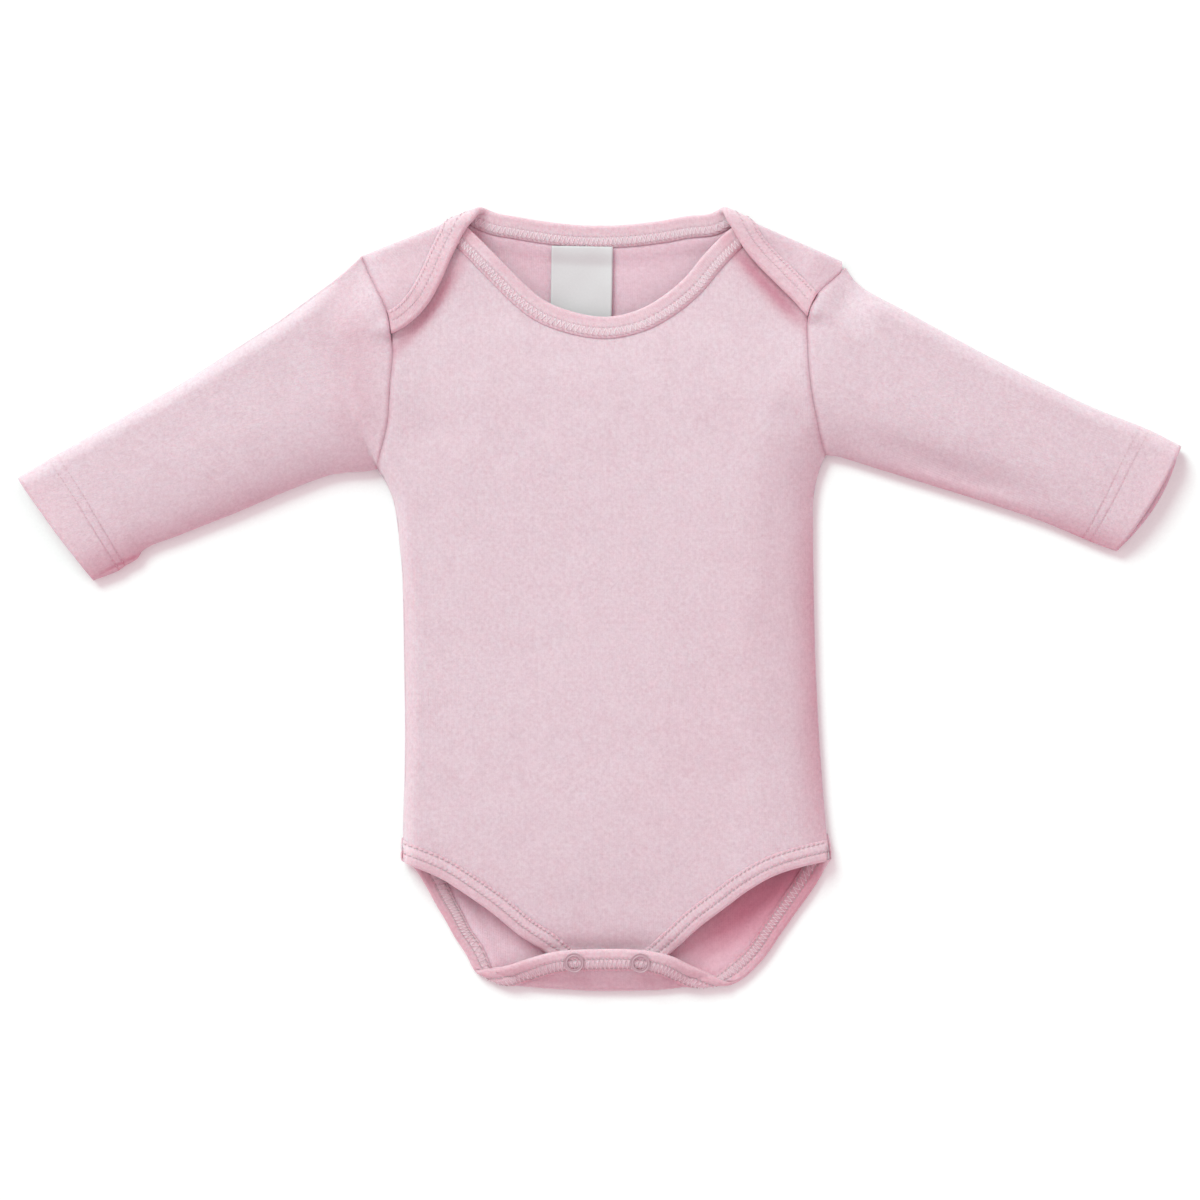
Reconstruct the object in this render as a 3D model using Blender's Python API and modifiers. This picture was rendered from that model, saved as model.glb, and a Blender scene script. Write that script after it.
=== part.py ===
"""A long-sleeved baby bodysuit, laid on its back with its shoulders and crotch flap folded.

Every piece is cut flat, in a pattern plane, and is then folded and lofted into place.
The garment lies on z = 0 with its length along Y (neck at +Y) and its sleeves along X.
"""

import math
from collections import namedtuple

import bmesh
import bpy
import numpy as np

COLLECTION = "baby_bodysuit"
MM = 0.001  # the sizes below are in millimetres, and turn into metres with the mesh
CENTRE = np.array([-0.27, -0.24, 0.0])  # of the whole outline, which goes to the origin

# Cloth and sewing
WALL = 1.0  # thickness of the cloth
GAP = 0.3  # between two pieces that touch
LEAF = WALL + GAP  # from the middle of a panel to the middle of what lies on it
STACK = 2 * LEAF + WALL + GAP  # between the middles of two bound edges that lie together
NECK_BAND = 11.0  # width of the neck binding
LEG_BAND = 10.5  # width of the leg binding
PANEL_SETBACK = 2.1  # a panel's raw edge, behind the outer edge of its binding
BAND_TURN = 0.5  # where the binding's middle turns round the edge
ARMHOLE_GAP = 0.3  # each side of the armhole seam

# Heights
FLOOR = WALL / 2  # the lower layer's middle
SEAM = 4.0  # where the upper and lower layers meet
SEAM_SLOT = 0.45  # front and back, apart along the side seams
LEG_SLOT = 1.1  # and further apart where their leg bindings meet
LEFT_REACH = 17.0  # from the left side seam to the full height of the body
RIGHT_REACH = 40.0
SHOULDER_REACH = 28.0
LOWER_REACH = 4.0  # the lower layer rises to the seam in this distance
BLEND_POWER = 5  # how sharply body and sleeves meet

# Folds that the pieces turn over
SHOULDER_ROLL = 3.3  # radius, in plan
CROTCH_ROLL = 4.5
CROTCH_LINE = -195.85  # the middle of the cloth where the flap turns
FLAP_HEIGHT = SEAM + STACK + 2.1  # leaves the snaps their room
LAP_LIFT = 4.0  # the shoulder laps, above the front
LAP_LIFT_AT_ARMHOLE = 2.9
ROLL_STEPS = 5

# Snaps
SNAP_AT = ((-13.0, -181.6), (20.0, -181.8))
SNAP_RING = 3.95  # radius to the middle of the ring's wire
SNAP_WIRE = 0.9
SNAP_DISC = 4.0
SNAP_POST = 1.7

LABEL_SIZE = (31.0, 38.0)
LABEL_CENTRE = (-9.2, 155.4)
LABEL_TURN = math.radians(-1.0)

Side = namedtuple("Side", "y left right")
SIDES = (  # the body's outline, and its line inside the sleeves
    Side(-205.0, -98.3, 114.6),
    Side(-130.0, -98.3, 114.6),
    Side(-110.0, -98.6, 112.8),
    Side(-80.0, -97.6, 110.5),
    Side(-35.0, -98.1, 108.1),
    Side(10.0, -99.0, 107.0),
    Side(30.0, -100.7, 106.8),
    Side(47.0, -103.0, 106.6),
    Side(55.0, -105.7, 107.6),
    Side(62.0, -109.3, 109.2),
    Side(68.0, -113.0, 111.3),
    Side(80.0, -119.0, 117.0),
    Side(95.0, -127.0, 127.0),
    Side(205.0, -140.0, 140.0),
)

Crest = namedtuple("Crest", "y height")
CREST = (  # the front's height along the middle
    Crest(-205.0, 4.0),
    Crest(-175.0, 4.0),
    Crest(-172.0, 5.2),
    Crest(-167.0, 7.2),
    Crest(-150.0, 10.6),
    Crest(-128.0, 13.8),
    Crest(-100.0, 15.8),
    Crest(-50.0, 17.0),
    Crest(50.0, 17.2),
    Crest(100.0, 16.0),
    Crest(125.0, 13.4),
    Crest(141.0, 11.2),
    Crest(165.0, 9.6),
    Crest(205.0, 8.5),
)

Rise = namedtuple("Rise", "x y height spread")
RISES = (  # where stacked edges lift the seam line
    Rise(-66.0, 188.0, 2.0, 15.0),
    Rise(64.5, 188.0, 2.0, 15.0),
    Rise(-98.5, -131.0, 1.6, 16.0),
    Rise(115.0, -131.0, 1.6, 16.0),
)

Crease = namedtuple("Crease", "x0 y0 x1 y1 width depth")
CREASES = (  # the largest folds: a trough has a depth below zero
    Crease(118.0, 86.0, 236.0, 46.0, 7.0, -3.6),
    Crease(-232.0, 33.0, -214.0, 23.0, 4.5, -2.4),
    Crease(-96.0, 92.0, -62.0, 74.0, 7.0, -0.9),
    Crease(84.0, 96.0, 103.0, 84.0, 8.0, -1.2),
)

Arm = namedtuple("Arm", "along top bottom crest")
LEFT_ARM = (  # across the sleeve, from its middle line
    Arm(-20.0, 56.9, -46.0, 15.5),
    Arm(0.0, 51.3, -45.2, 15.5),
    Arm(20.0, 47.6, -43.8, 15.5),
    Arm(30.0, 45.8, -41.6, 15.2),
    Arm(40.0, 44.2, -37.6, 15.0),
    Arm(50.0, 43.1, -34.9, 14.8),
    Arm(70.0, 40.8, -33.1, 14.4),
    Arm(100.0, 37.5, -31.6, 13.4),
    Arm(130.0, 35.6, -30.3, 11.8),
    Arm(160.0, 33.9, -32.3, 10.0),
    Arm(192.0, 31.4, -31.0, 8.6),
)
RIGHT_ARM = (
    Arm(-20.0, 57.0, -44.0, 15.5),
    Arm(-4.0, 48.4, -43.0, 15.5),
    Arm(4.0, 43.6, -42.6, 15.5),
    Arm(12.0, 41.6, -42.2, 15.5),
    Arm(22.0, 40.6, -41.6, 15.2),
    Arm(30.0, 39.9, -39.7, 15.0),
    Arm(50.0, 37.6, -38.0, 14.8),
    Arm(80.0, 34.5, -35.4, 14.2),
    Arm(110.0, 32.2, -33.0, 13.0),
    Arm(140.0, 30.6, -31.5, 11.4),
    Arm(165.0, 31.0, -31.9, 10.0),
    Arm(188.0, 29.4, -30.4, 8.8),
)

Sleeve = namedtuple("Sleeve", "name origin heading rows top_reach bottom_reach cuff cuff_bow")
SLEEVES = {  # cuff: (along, across) of its top and bottom corners
    "left": Sleeve(
        "sleeve_left", (-107.5, 114.25), (-0.8998, -0.4362), LEFT_ARM, 15.0, 38.0,
        ((188.7, 31.4), (177.2, -31.2)), 1.5,
    ),
    "right": Sleeve(
        "sleeve_right", (107.5, 119.25), (0.9256, -0.3785), RIGHT_ARM, 15.0, 13.0,
        ((185.7, 29.6), (176.2, -30.8)), 5.0,
    ),
}

Point = namedtuple("Point", "x y")
ARMHOLE = {  # the armhole seam, from the armpit up to the shoulder fold
    "left": (
        Point(-111.2, 65.2), Point(-108.0, 77.3), Point(-105.5, 88.3), Point(-104.5, 105.3),
        Point(-103.2, 121.8), Point(-104.3, 131.8), Point(-105.8, 141.8), Point(-109.2, 149.8),
        Point(-115.0, 161.3), Point(-118.9, 170.6),
    ),
    "right": (
        Point(112.6, 72.2), Point(111.0, 77.0), Point(108.0, 89.8), Point(105.0, 105.3),
        Point(103.5, 123.8), Point(103.7, 139.8), Point(106.3, 148.0), Point(109.2, 152.8),
        Point(115.2, 158.3), Point(122.3, 165.0),
    ),
}

Shoulder = namedtuple("Shoulder", "side outer inner lower_cross upper_cross armhole_cross")
SHOULDERS = {  # the fold's ends; the crossings are distances along it from its outer end
    "left": Shoulder("left", (-119.0, 170.9), (-56.5, 195.6), 69.6, 60.0, 0.0),
    "right": Shoulder("right", (122.6, 167.4), (58.5, 195.8), 71.0, 64.5, -0.8),
}
LAP_EDGE = {  # the laps' free edges in plan, from the tip at the armhole to the neck
    "left": (
        Point(-103.7, 131.5), Point(-96.5, 135.6), Point(-87.0, 144.7), Point(-79.5, 157.3),
        Point(-73.5, 171.3), Point(-66.0, 185.4),
    ),
    "right": (
        Point(103.1, 140.3), Point(95.5, 149.0), Point(87.5, 157.0), Point(79.0, 165.8),
        Point(72.0, 174.3), Point(65.2, 185.6),
    ),
}
BACK_NECK = (
    Point(-42.0, 191.2), Point(-30.0, 189.2), Point(-15.0, 187.3), Point(0.0, 186.7),
    Point(15.0, 187.3), Point(30.5, 189.2), Point(43.5, 191.5),
)
FRONT_NECK = (  # from under the left lap to under the right one
    Point(-68.5, 187.0), Point(-64.5, 183.9), Point(-49.5, 168.8), Point(-36.0, 155.3),
    Point(-26.0, 147.8), Point(-8.5, 141.8), Point(5.5, 140.7), Point(22.0, 145.3),
    Point(40.5, 158.3), Point(52.5, 172.4), Point(62.5, 182.6), Point(67.5, 186.6),
)
FRONT_LEG = (  # left leg, round the snap tab, right leg
    Point(-99.0, -131.5), Point(-93.0, -133.7), Point(-79.5, -139.6), Point(-64.0, -149.7),
    Point(-53.5, -157.3), Point(-41.0, -167.8), Point(-27.5, -176.8), Point(-19.0, -184.5),
    Point(-10.0, -188.8), Point(4.5, -189.6), Point(19.0, -188.8), Point(28.0, -184.5),
    Point(36.5, -176.6), Point(49.5, -164.3), Point(62.0, -154.7), Point(74.5, -145.3),
    Point(87.0, -138.3), Point(99.5, -134.3), Point(115.2, -131.0),
)
BACK_LEG = {  # the lower layer's outline below the side seams, downwards
    "left": (
        Point(-99.0, -131.5), Point(-93.5, -134.6), Point(-87.0, -144.3), Point(-80.0, -156.8),
        Point(-73.5, -168.3), Point(-67.0, -178.3),
    ),
    "right": (
        Point(115.2, -131.0), Point(111.9, -136.6), Point(108.0, -143.3), Point(99.5, -155.3),
        Point(91.0, -167.3), Point(82.0, -180.3),
    ),
}
FLAP_EDGE = (  # the flap's free edge on top of the fold, from left to right
    Point(-60.5, -185.8), Point(-49.0, -183.9), Point(-37.5, -180.3), Point(-26.0, -176.8),
    Point(-14.5, -175.3), Point(4.0, -174.7), Point(25.0, -175.8), Point(35.5, -178.3),
    Point(44.5, -182.8), Point(53.0, -186.8), Point(61.5, -190.9),
)

Bow = namedtuple("Bow", "x rise")
CROTCH_BOW = (  # how far the flap's fold rises above a straight line
    Bow(-75.0, 13.0), Bow(-60.5, 9.4), Bow(-55.0, 6.6), Bow(-43.5, 2.6), Bow(-18.0, 0.6),
    Bow(0.0, -0.2), Bow(25.0, 0.1), Bow(41.5, 1.6), Bow(58.0, 3.4), Bow(69.5, 4.0),
    Bow(84.0, 5.5),
)
BOW_FROM = -185.0  # the bow is whole below this line
BOW_FADE = 45.0

PINK = (0.80, 0.60, 0.66, 1.0)
BAND_PINK = (0.79, 0.55, 0.62, 1.0)
WHITE = (0.80, 0.80, 0.82, 1.0)
SNAP_PINK = (0.74, 0.46, 0.54, 1.0)


# ---------------------------------------------------------------- small mathematics


def ease(t):
    """0 below 0, 1 above 1, and smooth between."""
    t = np.clip(t, 0.0, 1.0)
    return t * t * (3 - 2 * t)


def bulge(distance, reach):
    """A quarter ellipse: 0 at an edge, with a steep start, and 1 from reach onwards."""
    t = np.clip(np.asarray(distance) / reach, 0.0, 1.0)
    return np.sqrt(1 - (1 - t) ** 2)


def read(rows, key, column, at):
    """A table's column at places between its rows, along a curve that never overshoots."""
    xs = np.array([getattr(row, key) for row in rows])
    ys = np.array([getattr(row, column) for row in rows])
    step = np.diff(xs)
    slope = np.diff(ys) / step
    tangent = np.zeros(len(xs))
    same = slope[:-1] * slope[1:] > 0
    both = np.where(same, slope[:-1] + slope[1:], 1.0)
    tangent[1:-1] = np.where(same, 2 * slope[:-1] * slope[1:] / both, 0.0)
    tangent[0], tangent[-1] = slope[0], slope[-1]
    at = np.clip(np.asarray(at, float), xs[0], xs[-1])
    i = np.clip(np.searchsorted(xs, at) - 1, 0, len(step) - 1)
    t = (at - xs[i]) / step[i]
    return (
        ys[i] * (1 + 2 * t) * (1 - t) ** 2
        + tangent[i] * step[i] * t * (1 - t) ** 2
        + ys[i + 1] * t**2 * (3 - 2 * t)
        + tangent[i + 1] * step[i] * t**2 * (t - 1)
    )


def unit(v):
    v = np.asarray(v, float)
    return v / np.linalg.norm(v, axis=-1, keepdims=True)


class Curve:
    """A smooth line through points in the plane, measured along its length."""

    PER_SPAN = 12

    def __init__(self, points):
        p = np.array(points, float)
        ends = np.vstack([2 * p[0] - p[1], p, 2 * p[-1] - p[-2]])
        dense = []
        for k in range(len(p) - 1):
            a, b, c, d = ends[k : k + 4]
            ta = 0.0
            tb = ta + math.sqrt(np.linalg.norm(b - a))
            tc = tb + math.sqrt(np.linalg.norm(c - b))
            td = tc + math.sqrt(np.linalg.norm(d - c))
            t = np.linspace(tb, tc, self.PER_SPAN, endpoint=False)[:, None]
            ab = (tb - t) / (tb - ta) * a + (t - ta) / (tb - ta) * b
            bc = (tc - t) / (tc - tb) * b + (t - tb) / (tc - tb) * c
            cd = (td - t) / (td - tc) * c + (t - tc) / (td - tc) * d
            abc = (tc - t) / (tc - ta) * ab + (t - ta) / (tc - ta) * bc
            bcd = (td - t) / (td - tb) * bc + (t - tb) / (td - tb) * cd
            dense.append((tc - t) / (tc - tb) * abc + (t - tb) / (tc - tb) * bcd)
        self.points = np.vstack([*dense, p[-1:]])
        steps = np.linalg.norm(np.diff(self.points, axis=0), axis=1)
        self.lengths = np.concatenate([[0.0], np.cumsum(steps)])
        self.length = self.lengths[-1]

    def extend(self, other):
        """Runs on into another line, with a corner where they meet."""
        self.points = np.vstack([self.points, other.points[1:]])
        self.lengths = np.concatenate([self.lengths, self.length + other.lengths[1:]])
        self.length = self.lengths[-1]

    def at(self, length):
        return np.stack(
            [np.interp(length, self.lengths, self.points[:, k]) for k in range(2)], axis=-1
        )

    def heading(self, length, reach=0.6):
        return unit(self.at(np.asarray(length) + reach) - self.at(np.asarray(length) - reach))

    def nearest_length(self, point):
        return self.lengths[np.argmin(np.linalg.norm(self.points - point, axis=1))]

    def distance(self, x, y):
        """How far points are from the line."""
        p = np.stack([np.ravel(x), np.ravel(y)], axis=1)[:, None]
        a, b = self.points[:-1], self.points[1:]
        d = b - a
        t = np.clip(((p - a) * d).sum(-1) / (d * d).sum(-1), 0, 1)
        return np.linalg.norm(p - a - t[..., None] * d, axis=-1).min(axis=1).reshape(np.shape(x))


# ---------------------------------------------------------------- heights in plan


class FoldLine:
    """The shoulder fold: `along` runs from the armhole to the neck, `inward` from the fold."""

    def __init__(self, shoulder):
        self.origin = np.array(shoulder.outer)
        self.axis = unit(np.array(shoulder.inner) - self.origin)
        down = np.array([self.axis[1], -self.axis[0]])
        self.inward = down if down[1] < 0 else -down
        self.shoulder = shoulder

    def split(self, x, y):
        p = np.stack([np.asarray(x, float), np.asarray(y, float)], axis=-1) - self.origin
        return p @ self.axis, p @ self.inward

    def join(self, along, inward):
        along, inward = np.asarray(along, float), np.asarray(inward, float)
        p = self.origin + along[..., None] * self.axis + inward[..., None] * self.inward
        return p[..., 0], p[..., 1]


FOLDS = {side: FoldLine(shoulder) for side, shoulder in SHOULDERS.items()}
ARMHOLE_SEAM = {side: Curve(points) for side, points in ARMHOLE.items()}


def arm_frame(sleeve, x, y):
    """A place in plan as (along the sleeve, across it towards its top edge)."""
    along = unit(sleeve.heading)
    across = np.array([-along[1], along[0]])
    across = across if across[1] > 0 else -across
    p = np.stack([np.asarray(x, float), np.asarray(y, float)], axis=-1) - sleeve.origin
    return p @ along, p @ across


def arm_place(sleeve, a, b):
    along = unit(sleeve.heading)
    across = np.array([-along[1], along[0]])
    across = across if across[1] > 0 else -across
    p = np.array(sleeve.origin) + np.asarray(a)[..., None] * along
    return p + np.asarray(b)[..., None] * across


def arm_edges(sleeve, a):
    """The middle of the cloth along the sleeve's top and bottom edges."""
    top = read(sleeve.rows, "along", "top", a) - WALL / 2
    bottom = read(sleeve.rows, "along", "bottom", a) + WALL / 2
    return top, bottom


def body_edges(x, y):
    left = x - read(SIDES, "y", "left", y) - WALL / 2
    right = read(SIDES, "y", "right", y) - WALL / 2 - x
    return left, right


def seam_height(x, y):
    height = SEAM + np.zeros(np.shape(x))
    for rise in RISES:
        away = np.hypot(x - rise.x, y - rise.y)
        height = height + rise.height * np.exp(-((away / rise.spread) ** 2))
    return height


def seam_slot(x, y):
    slot = SEAM_SLOT + np.zeros(np.shape(x))
    for side in BACK_LEG:
        corner = BACK_LEG[side][0]
        away = np.hypot(x - corner.x, y - corner.y)
        slot = slot + LEG_SLOT * ease(2.0 - away / 12.0)
    return slot


def creases(x, y):
    """Soft troughs and ridges, fading towards both ends."""
    depth = np.zeros(np.shape(x))
    for crease in CREASES:
        start = np.array([crease.x0, crease.y0])
        run = np.array([crease.x1, crease.y1]) - start
        long = np.linalg.norm(run)
        along = ((x - start[0]) * run[0] + (y - start[1]) * run[1]) / long
        across = (-(x - start[0]) * run[1] + (y - start[1]) * run[0]) / long
        ends = ease((along + crease.width) / (0.45 * long))
        ends = ends * ease((long + crease.width - along) / (0.45 * long))
        depth = depth + crease.depth * ends * np.exp(-((across / crease.width) ** 2))
    return depth


def upper_height(x, y):
    """The middle of the upper layer: front and sleeves share this one surface."""
    left, right = body_edges(x, y)
    top = np.minimum(FOLDS["left"].split(x, y)[1], FOLDS["right"].split(x, y)[1])
    top = np.minimum(top, SHOULDERS["left"].inner[1] - y)
    body = (read(CREST, "y", "height", y) - SEAM) * bulge(left, LEFT_REACH)
    body = body * bulge(right, RIGHT_REACH) * ease(top / SHOULDER_REACH)
    total = np.maximum(body, 0.0) ** BLEND_POWER
    for sleeve in SLEEVES.values():
        a, b = arm_frame(sleeve, x, y)
        top_edge, bottom_edge = arm_edges(sleeve, a)
        flat_start = ease((25.0 - a) / 30.0)
        top_rise = bulge(top_edge - b, sleeve.top_reach) * (1 - flat_start)
        top_rise = top_rise + ease((top_edge - b) / SHOULDER_REACH) * flat_start
        rise = (read(sleeve.rows, "along", "crest", a) - SEAM) * top_rise
        rise = rise * bulge(b - bottom_edge, sleeve.bottom_reach) * ease((a + 45.0) / 50.0)
        total = total + np.maximum(rise, 0.0) ** BLEND_POWER
    loft = np.maximum(total, 0.0) ** (1 / BLEND_POWER)
    return seam_height(x, y) + loft + creases(x, y) * np.clip(loft / 4.0, 0.0, 1.0)


def inside(x, y):
    """How far a place is from the garment's outline, on its inner side."""
    left, right = body_edges(x, y)
    depth = np.minimum(left, right)
    for sleeve in SLEEVES.values():
        a, b = arm_frame(sleeve, x, y)
        top_edge, bottom_edge = arm_edges(sleeve, a)
        arm = np.minimum(b - bottom_edge, top_edge - b)
        depth = np.maximum(depth, np.where(a > -40.0, arm, depth))
    return depth


def lower_height(x, y, floor=FLOOR, drop=0.0):
    """The middle of the lower layer, which lies on the floor and rises to the side seams."""
    rise = 1 - bulge(inside(x, y), LOWER_REACH)
    return floor + (seam_height(x, y) - drop - floor) * rise


def lap_lift(side, x, y):
    """How far a shoulder lap lies above the front."""
    near = ease(1 - ARMHOLE_SEAM[side].distance(x, y) / 15.0)
    return LAP_LIFT + (LAP_LIFT_AT_ARMHOLE - LAP_LIFT) * near


# ---------------------------------------------------------------- folding the back


def crotch_bow(x, y):
    return read(CROTCH_BOW, "x", "rise", x) * (1 - ease((y - BOW_FROM) / BOW_FADE))


def unbow(x, y):
    """The place whose bowed place is (x, y)."""
    straight = np.array(y, float)
    for _ in range(8):
        straight = y - crotch_bow(x, straight)
    return x, straight


def unfold_flap(x, y):
    """A point on top of the crotch fold, laid back into the pattern."""
    x, y = unbow(x, y)
    start = CROTCH_LINE + CROTCH_ROLL
    over = np.clip((start - y) / CROTCH_ROLL, 0.0, 1.0)
    turned = start - CROTCH_ROLL * (math.pi - np.arcsin(over))
    return x, np.where(y >= start, 2 * start - math.pi * CROTCH_ROLL - y, turned)


def unfold_under(x, y):
    """A point of the lower layer, near or past the start of the crotch fold."""
    x, y = unbow(x, y)
    start = CROTCH_LINE + CROTCH_ROLL
    over = np.clip((start - y) / CROTCH_ROLL, 0.0, 1.0)
    return x, np.where(y >= start, y, start - CROTCH_ROLL * np.arcsin(over))


def unfold_lap(side, x, y):
    """A point on a shoulder lap, laid back into the pattern."""
    fold = FOLDS[side]
    along, inward = fold.split(x, y)
    return fold.join(along, (2 - math.pi) * SHOULDER_ROLL - inward)


def back_floor(x, y):
    """The lower layer's middle, raised where its binding has to fit under it."""
    near = np.minimum(NECK_EDGE_BACK.distance(x, y), LEG_EDGE_BACK.distance(x, y))
    return FLOOR + LEAF * ease((NECK_BAND + 10.0 - near) / 8.5)


def fold_back(px, py):
    """The back's pattern, laid on the floor and turned over at the shoulders and crotch."""
    px, py = np.asarray(px, float), np.asarray(py, float)
    x, y = px.copy(), py.copy()
    z = np.zeros(px.shape)
    plain = np.ones(px.shape, bool)
    for side, fold in FOLDS.items():
        along, inward = fold.split(px, py)
        beyond = SHOULDER_ROLL - inward
        turn = np.clip(beyond / SHOULDER_ROLL, 0.0, math.pi)
        run = np.maximum(beyond - math.pi * SHOULDER_ROLL, 0.0)
        placed = fold.join(along, SHOULDER_ROLL * (1 - np.sin(turn)) + run)
        start = fold.join(along, np.full(px.shape, SHOULDER_ROLL))
        rest = fold.join(along, np.maximum(SHOULDER_ROLL + run, SHOULDER_ROLL))
        low = back_floor(*start)
        high = upper_height(*rest) + lap_lift(side, *rest)
        height = low + (high - low) * (1 - np.cos(turn)) / 2
        over = (beyond > 0) & (py > 100.0)
        x, y = np.where(over, placed[0], x), np.where(over, placed[1], y)
        z = np.where(over, height, z)
        plain &= ~over
    beyond = CROTCH_LINE + CROTCH_ROLL - py
    turn = np.clip(beyond / CROTCH_ROLL, 0.0, math.pi)
    run = np.maximum(beyond - math.pi * CROTCH_ROLL, 0.0)
    over = beyond > 0
    start = CROTCH_LINE + CROTCH_ROLL
    low = back_floor(px, np.full(px.shape, start))
    y = np.where(over, start - CROTCH_ROLL * np.sin(turn) + run, y)
    z = np.where(over, low + (FLAP_HEIGHT - low) * (1 - np.cos(turn)) / 2, z)
    plain &= ~over
    y = y + np.where(py < 0, crotch_bow(x, y), 0.0)
    level = lower_height(x, y, back_floor(px, py), seam_slot(x, y))
    return np.stack([x, y, np.where(plain, level, z)], axis=-1)


def lay_front(px, py):
    px, py = np.asarray(px, float), np.asarray(py, float)
    return np.stack([px, py, upper_height(px, py)], axis=-1)


def placed(surface, flat):
    """Pattern points (x, y, offset) on a folded surface, moved out along its normals."""
    x, y, offset = flat.T
    d = 0.05
    left, right = body_edges(x, y)
    near = np.maximum(1.2 * d - left, 0.0) - np.maximum(1.2 * d - right, 0.0)
    normal_x = x + np.where(y < 60.0, near, 0.0)
    across = surface(normal_x + d, y) - surface(normal_x - d, y)
    upward = surface(normal_x, y + d) - surface(normal_x, y - d)
    return surface(x, y) + offset[:, None] * unit(np.cross(across, upward))


# ---------------------------------------------------------------- cutting the pattern


class Edge:
    """A panel's top or bottom edge, with its columns and the way that they leave it."""

    SETTLE = 32.0  # from a corner to where the columns stand square to the edge
    MITRE = 0.3  # at a bound stretch's ends, the share of the bare edge beside it

    def __init__(self, curve, lengths, first_side, last_side, inward_sign, bound=None):
        self.points = curve.at(lengths)
        before = curve.heading(np.maximum(lengths - 0.7, 0.4), 0.35)
        after = curve.heading(np.minimum(lengths + 0.7, curve.length - 0.4), 0.35)
        square = np.array([[0.0, 1.0], [-1.0, 0.0]]) * inward_sign
        before, after = before @ square, after @ square
        way = unit(before + after)
        for side, away in ((first_side, lengths), (last_side, curve.length - lengths)):
            mix = ease(away / self.SETTLE)[:, None]
            way = unit(mix * way + (1 - mix) * side)
        lean = np.minimum((way * before).sum(1), (way * after).sum(1))
        for k, bare, taped in ((bound[0], before, after), (bound[1], after, before)) if bound else ():
            way[k] = unit(self.MITRE * bare[k] + (1 - self.MITRE) * taped[k])
            lean[k] = way[k] @ taped[k]
        from_end = np.minimum(lengths, curve.length - lengths)
        least = 0.42 + 0.36 * (1 - ease(from_end / 12.0))
        self.way = way / np.maximum(lean, least)[:, None]

    def row(self, distance):
        return self.points + self.way * distance


def side_rows(stations, first, last):
    """A side's stations, with its ends moved to where the binding's inner edge is."""
    points = np.array(stations)
    points[0], points[-1] = first, last
    steps = np.linalg.norm(np.diff(points, axis=0), axis=1)
    return points, np.concatenate([[0.0], np.cumsum(steps)]) / steps.sum()


def fill(bottom, top, left, right, columns, t):
    """Rows between two edges and two sides, each point drawn from all four."""
    u, v = columns[None, :, None], t[:, None, None]
    across = (1 - v) * bottom[None] + v * top[None]
    along = (1 - u) * left[:, None] + u * right[:, None]
    corners = (1 - u) * (1 - v) * bottom[0] + u * (1 - v) * bottom[-1]
    corners = corners + (1 - u) * v * top[0] + u * v * top[-1]
    return across + along - corners


def cut_panel(bottom, top, left, right, columns, bands):
    """The panel's pattern as rows of points, with rows where its bindings lie."""
    low = [bottom.row(d) for d in (PANEL_SETBACK, PANEL_SETBACK / 2 + bands[0] / 2, bands[0])]
    high = [top.row(d) for d in (PANEL_SETBACK, PANEL_SETBACK / 2 + bands[1] / 2, bands[1])]
    left_points, left_t = side_rows(left, low[-1][0], high[-1][0])
    right_points, right_t = side_rows(right, low[-1][-1], high[-1][-1])
    t = (left_t + right_t) / 2
    middle = fill(low[-1], high[-1], left_points, right_points, columns, t)
    return np.concatenate([np.array(low[:-1]), middle, np.array(high[:-1])[::-1]])


def band_rows(edge, width):
    """A binding's pattern: over the edge, round it and back under it."""
    inner = PANEL_SETBACK / 2 + width / 2
    turn = PANEL_SETBACK - GAP
    section = ((width, LEAF), (inner, LEAF), (turn, LEAF), (BAND_TURN, 0.0))
    section = section + ((turn, -LEAF), (inner, -LEAF), (width, -LEAF))
    rows = [
        np.column_stack([edge.row(distance), np.full(len(edge.points), offset)])
        for distance, offset in section
    ]
    return np.array(rows)


def flat_rows(rows):
    return np.concatenate([rows, np.zeros((*rows.shape[:2], 1))], axis=2)


# ---------------------------------------------------------------- making the objects


def new_collection():
    for old in list(bpy.data.objects):
        bpy.data.objects.remove(old, do_unlink=True)
    collection = bpy.data.collections.new(COLLECTION)
    bpy.context.scene.collection.children.link(collection)
    return collection


def finish_of(name, colour, roughness, metallic=0.0):
    material = bpy.data.materials.new(name)
    material.use_nodes = True
    shader = material.node_tree.nodes["Principled BSDF"]
    shader.inputs["Base Color"].default_value = colour
    shader.inputs["Roughness"].default_value = roughness
    shader.inputs["Metallic"].default_value = metallic
    material.diffuse_color = colour
    return material


def grid_mesh(rows):
    """A grid whose points stand where rows says."""
    high, wide = rows.shape[:2]
    bm = bmesh.new()
    bmesh.ops.create_grid(bm, x_segments=wide - 1, y_segments=high - 1, size=1.0)
    bm.verts.ensure_lookup_table()
    order = sorted(bm.verts, key=lambda v: (round(v.co.y, 5), round(v.co.x, 5)))
    for vert, place in zip(order, rows.reshape(-1, 3), strict=True):
        vert.co = place
    return bm


def crease_pattern(bm, lines):
    """New edges across the pattern where it will turn over a fold."""
    for point, normal in lines:
        geometry = bm.verts[:] + bm.edges[:] + bm.faces[:]
        bmesh.ops.bisect_plane(
            bm, geom=geometry, dist=0.12, plane_co=(*point, 0.0), plane_no=(*normal, 0.0)
        )


def back_creases():
    lines = []
    for k in range(ROLL_STEPS + 1):
        turned = math.pi * k / ROLL_STEPS
        for fold in FOLDS.values():
            inward = SHOULDER_ROLL * (1 - turned)
            lines.append((fold.origin + inward * fold.inward, fold.inward))
        lines.append(((0.0, CROTCH_LINE + CROTCH_ROLL * (1 - turned)), (0.0, 1.0)))
    return lines


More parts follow.
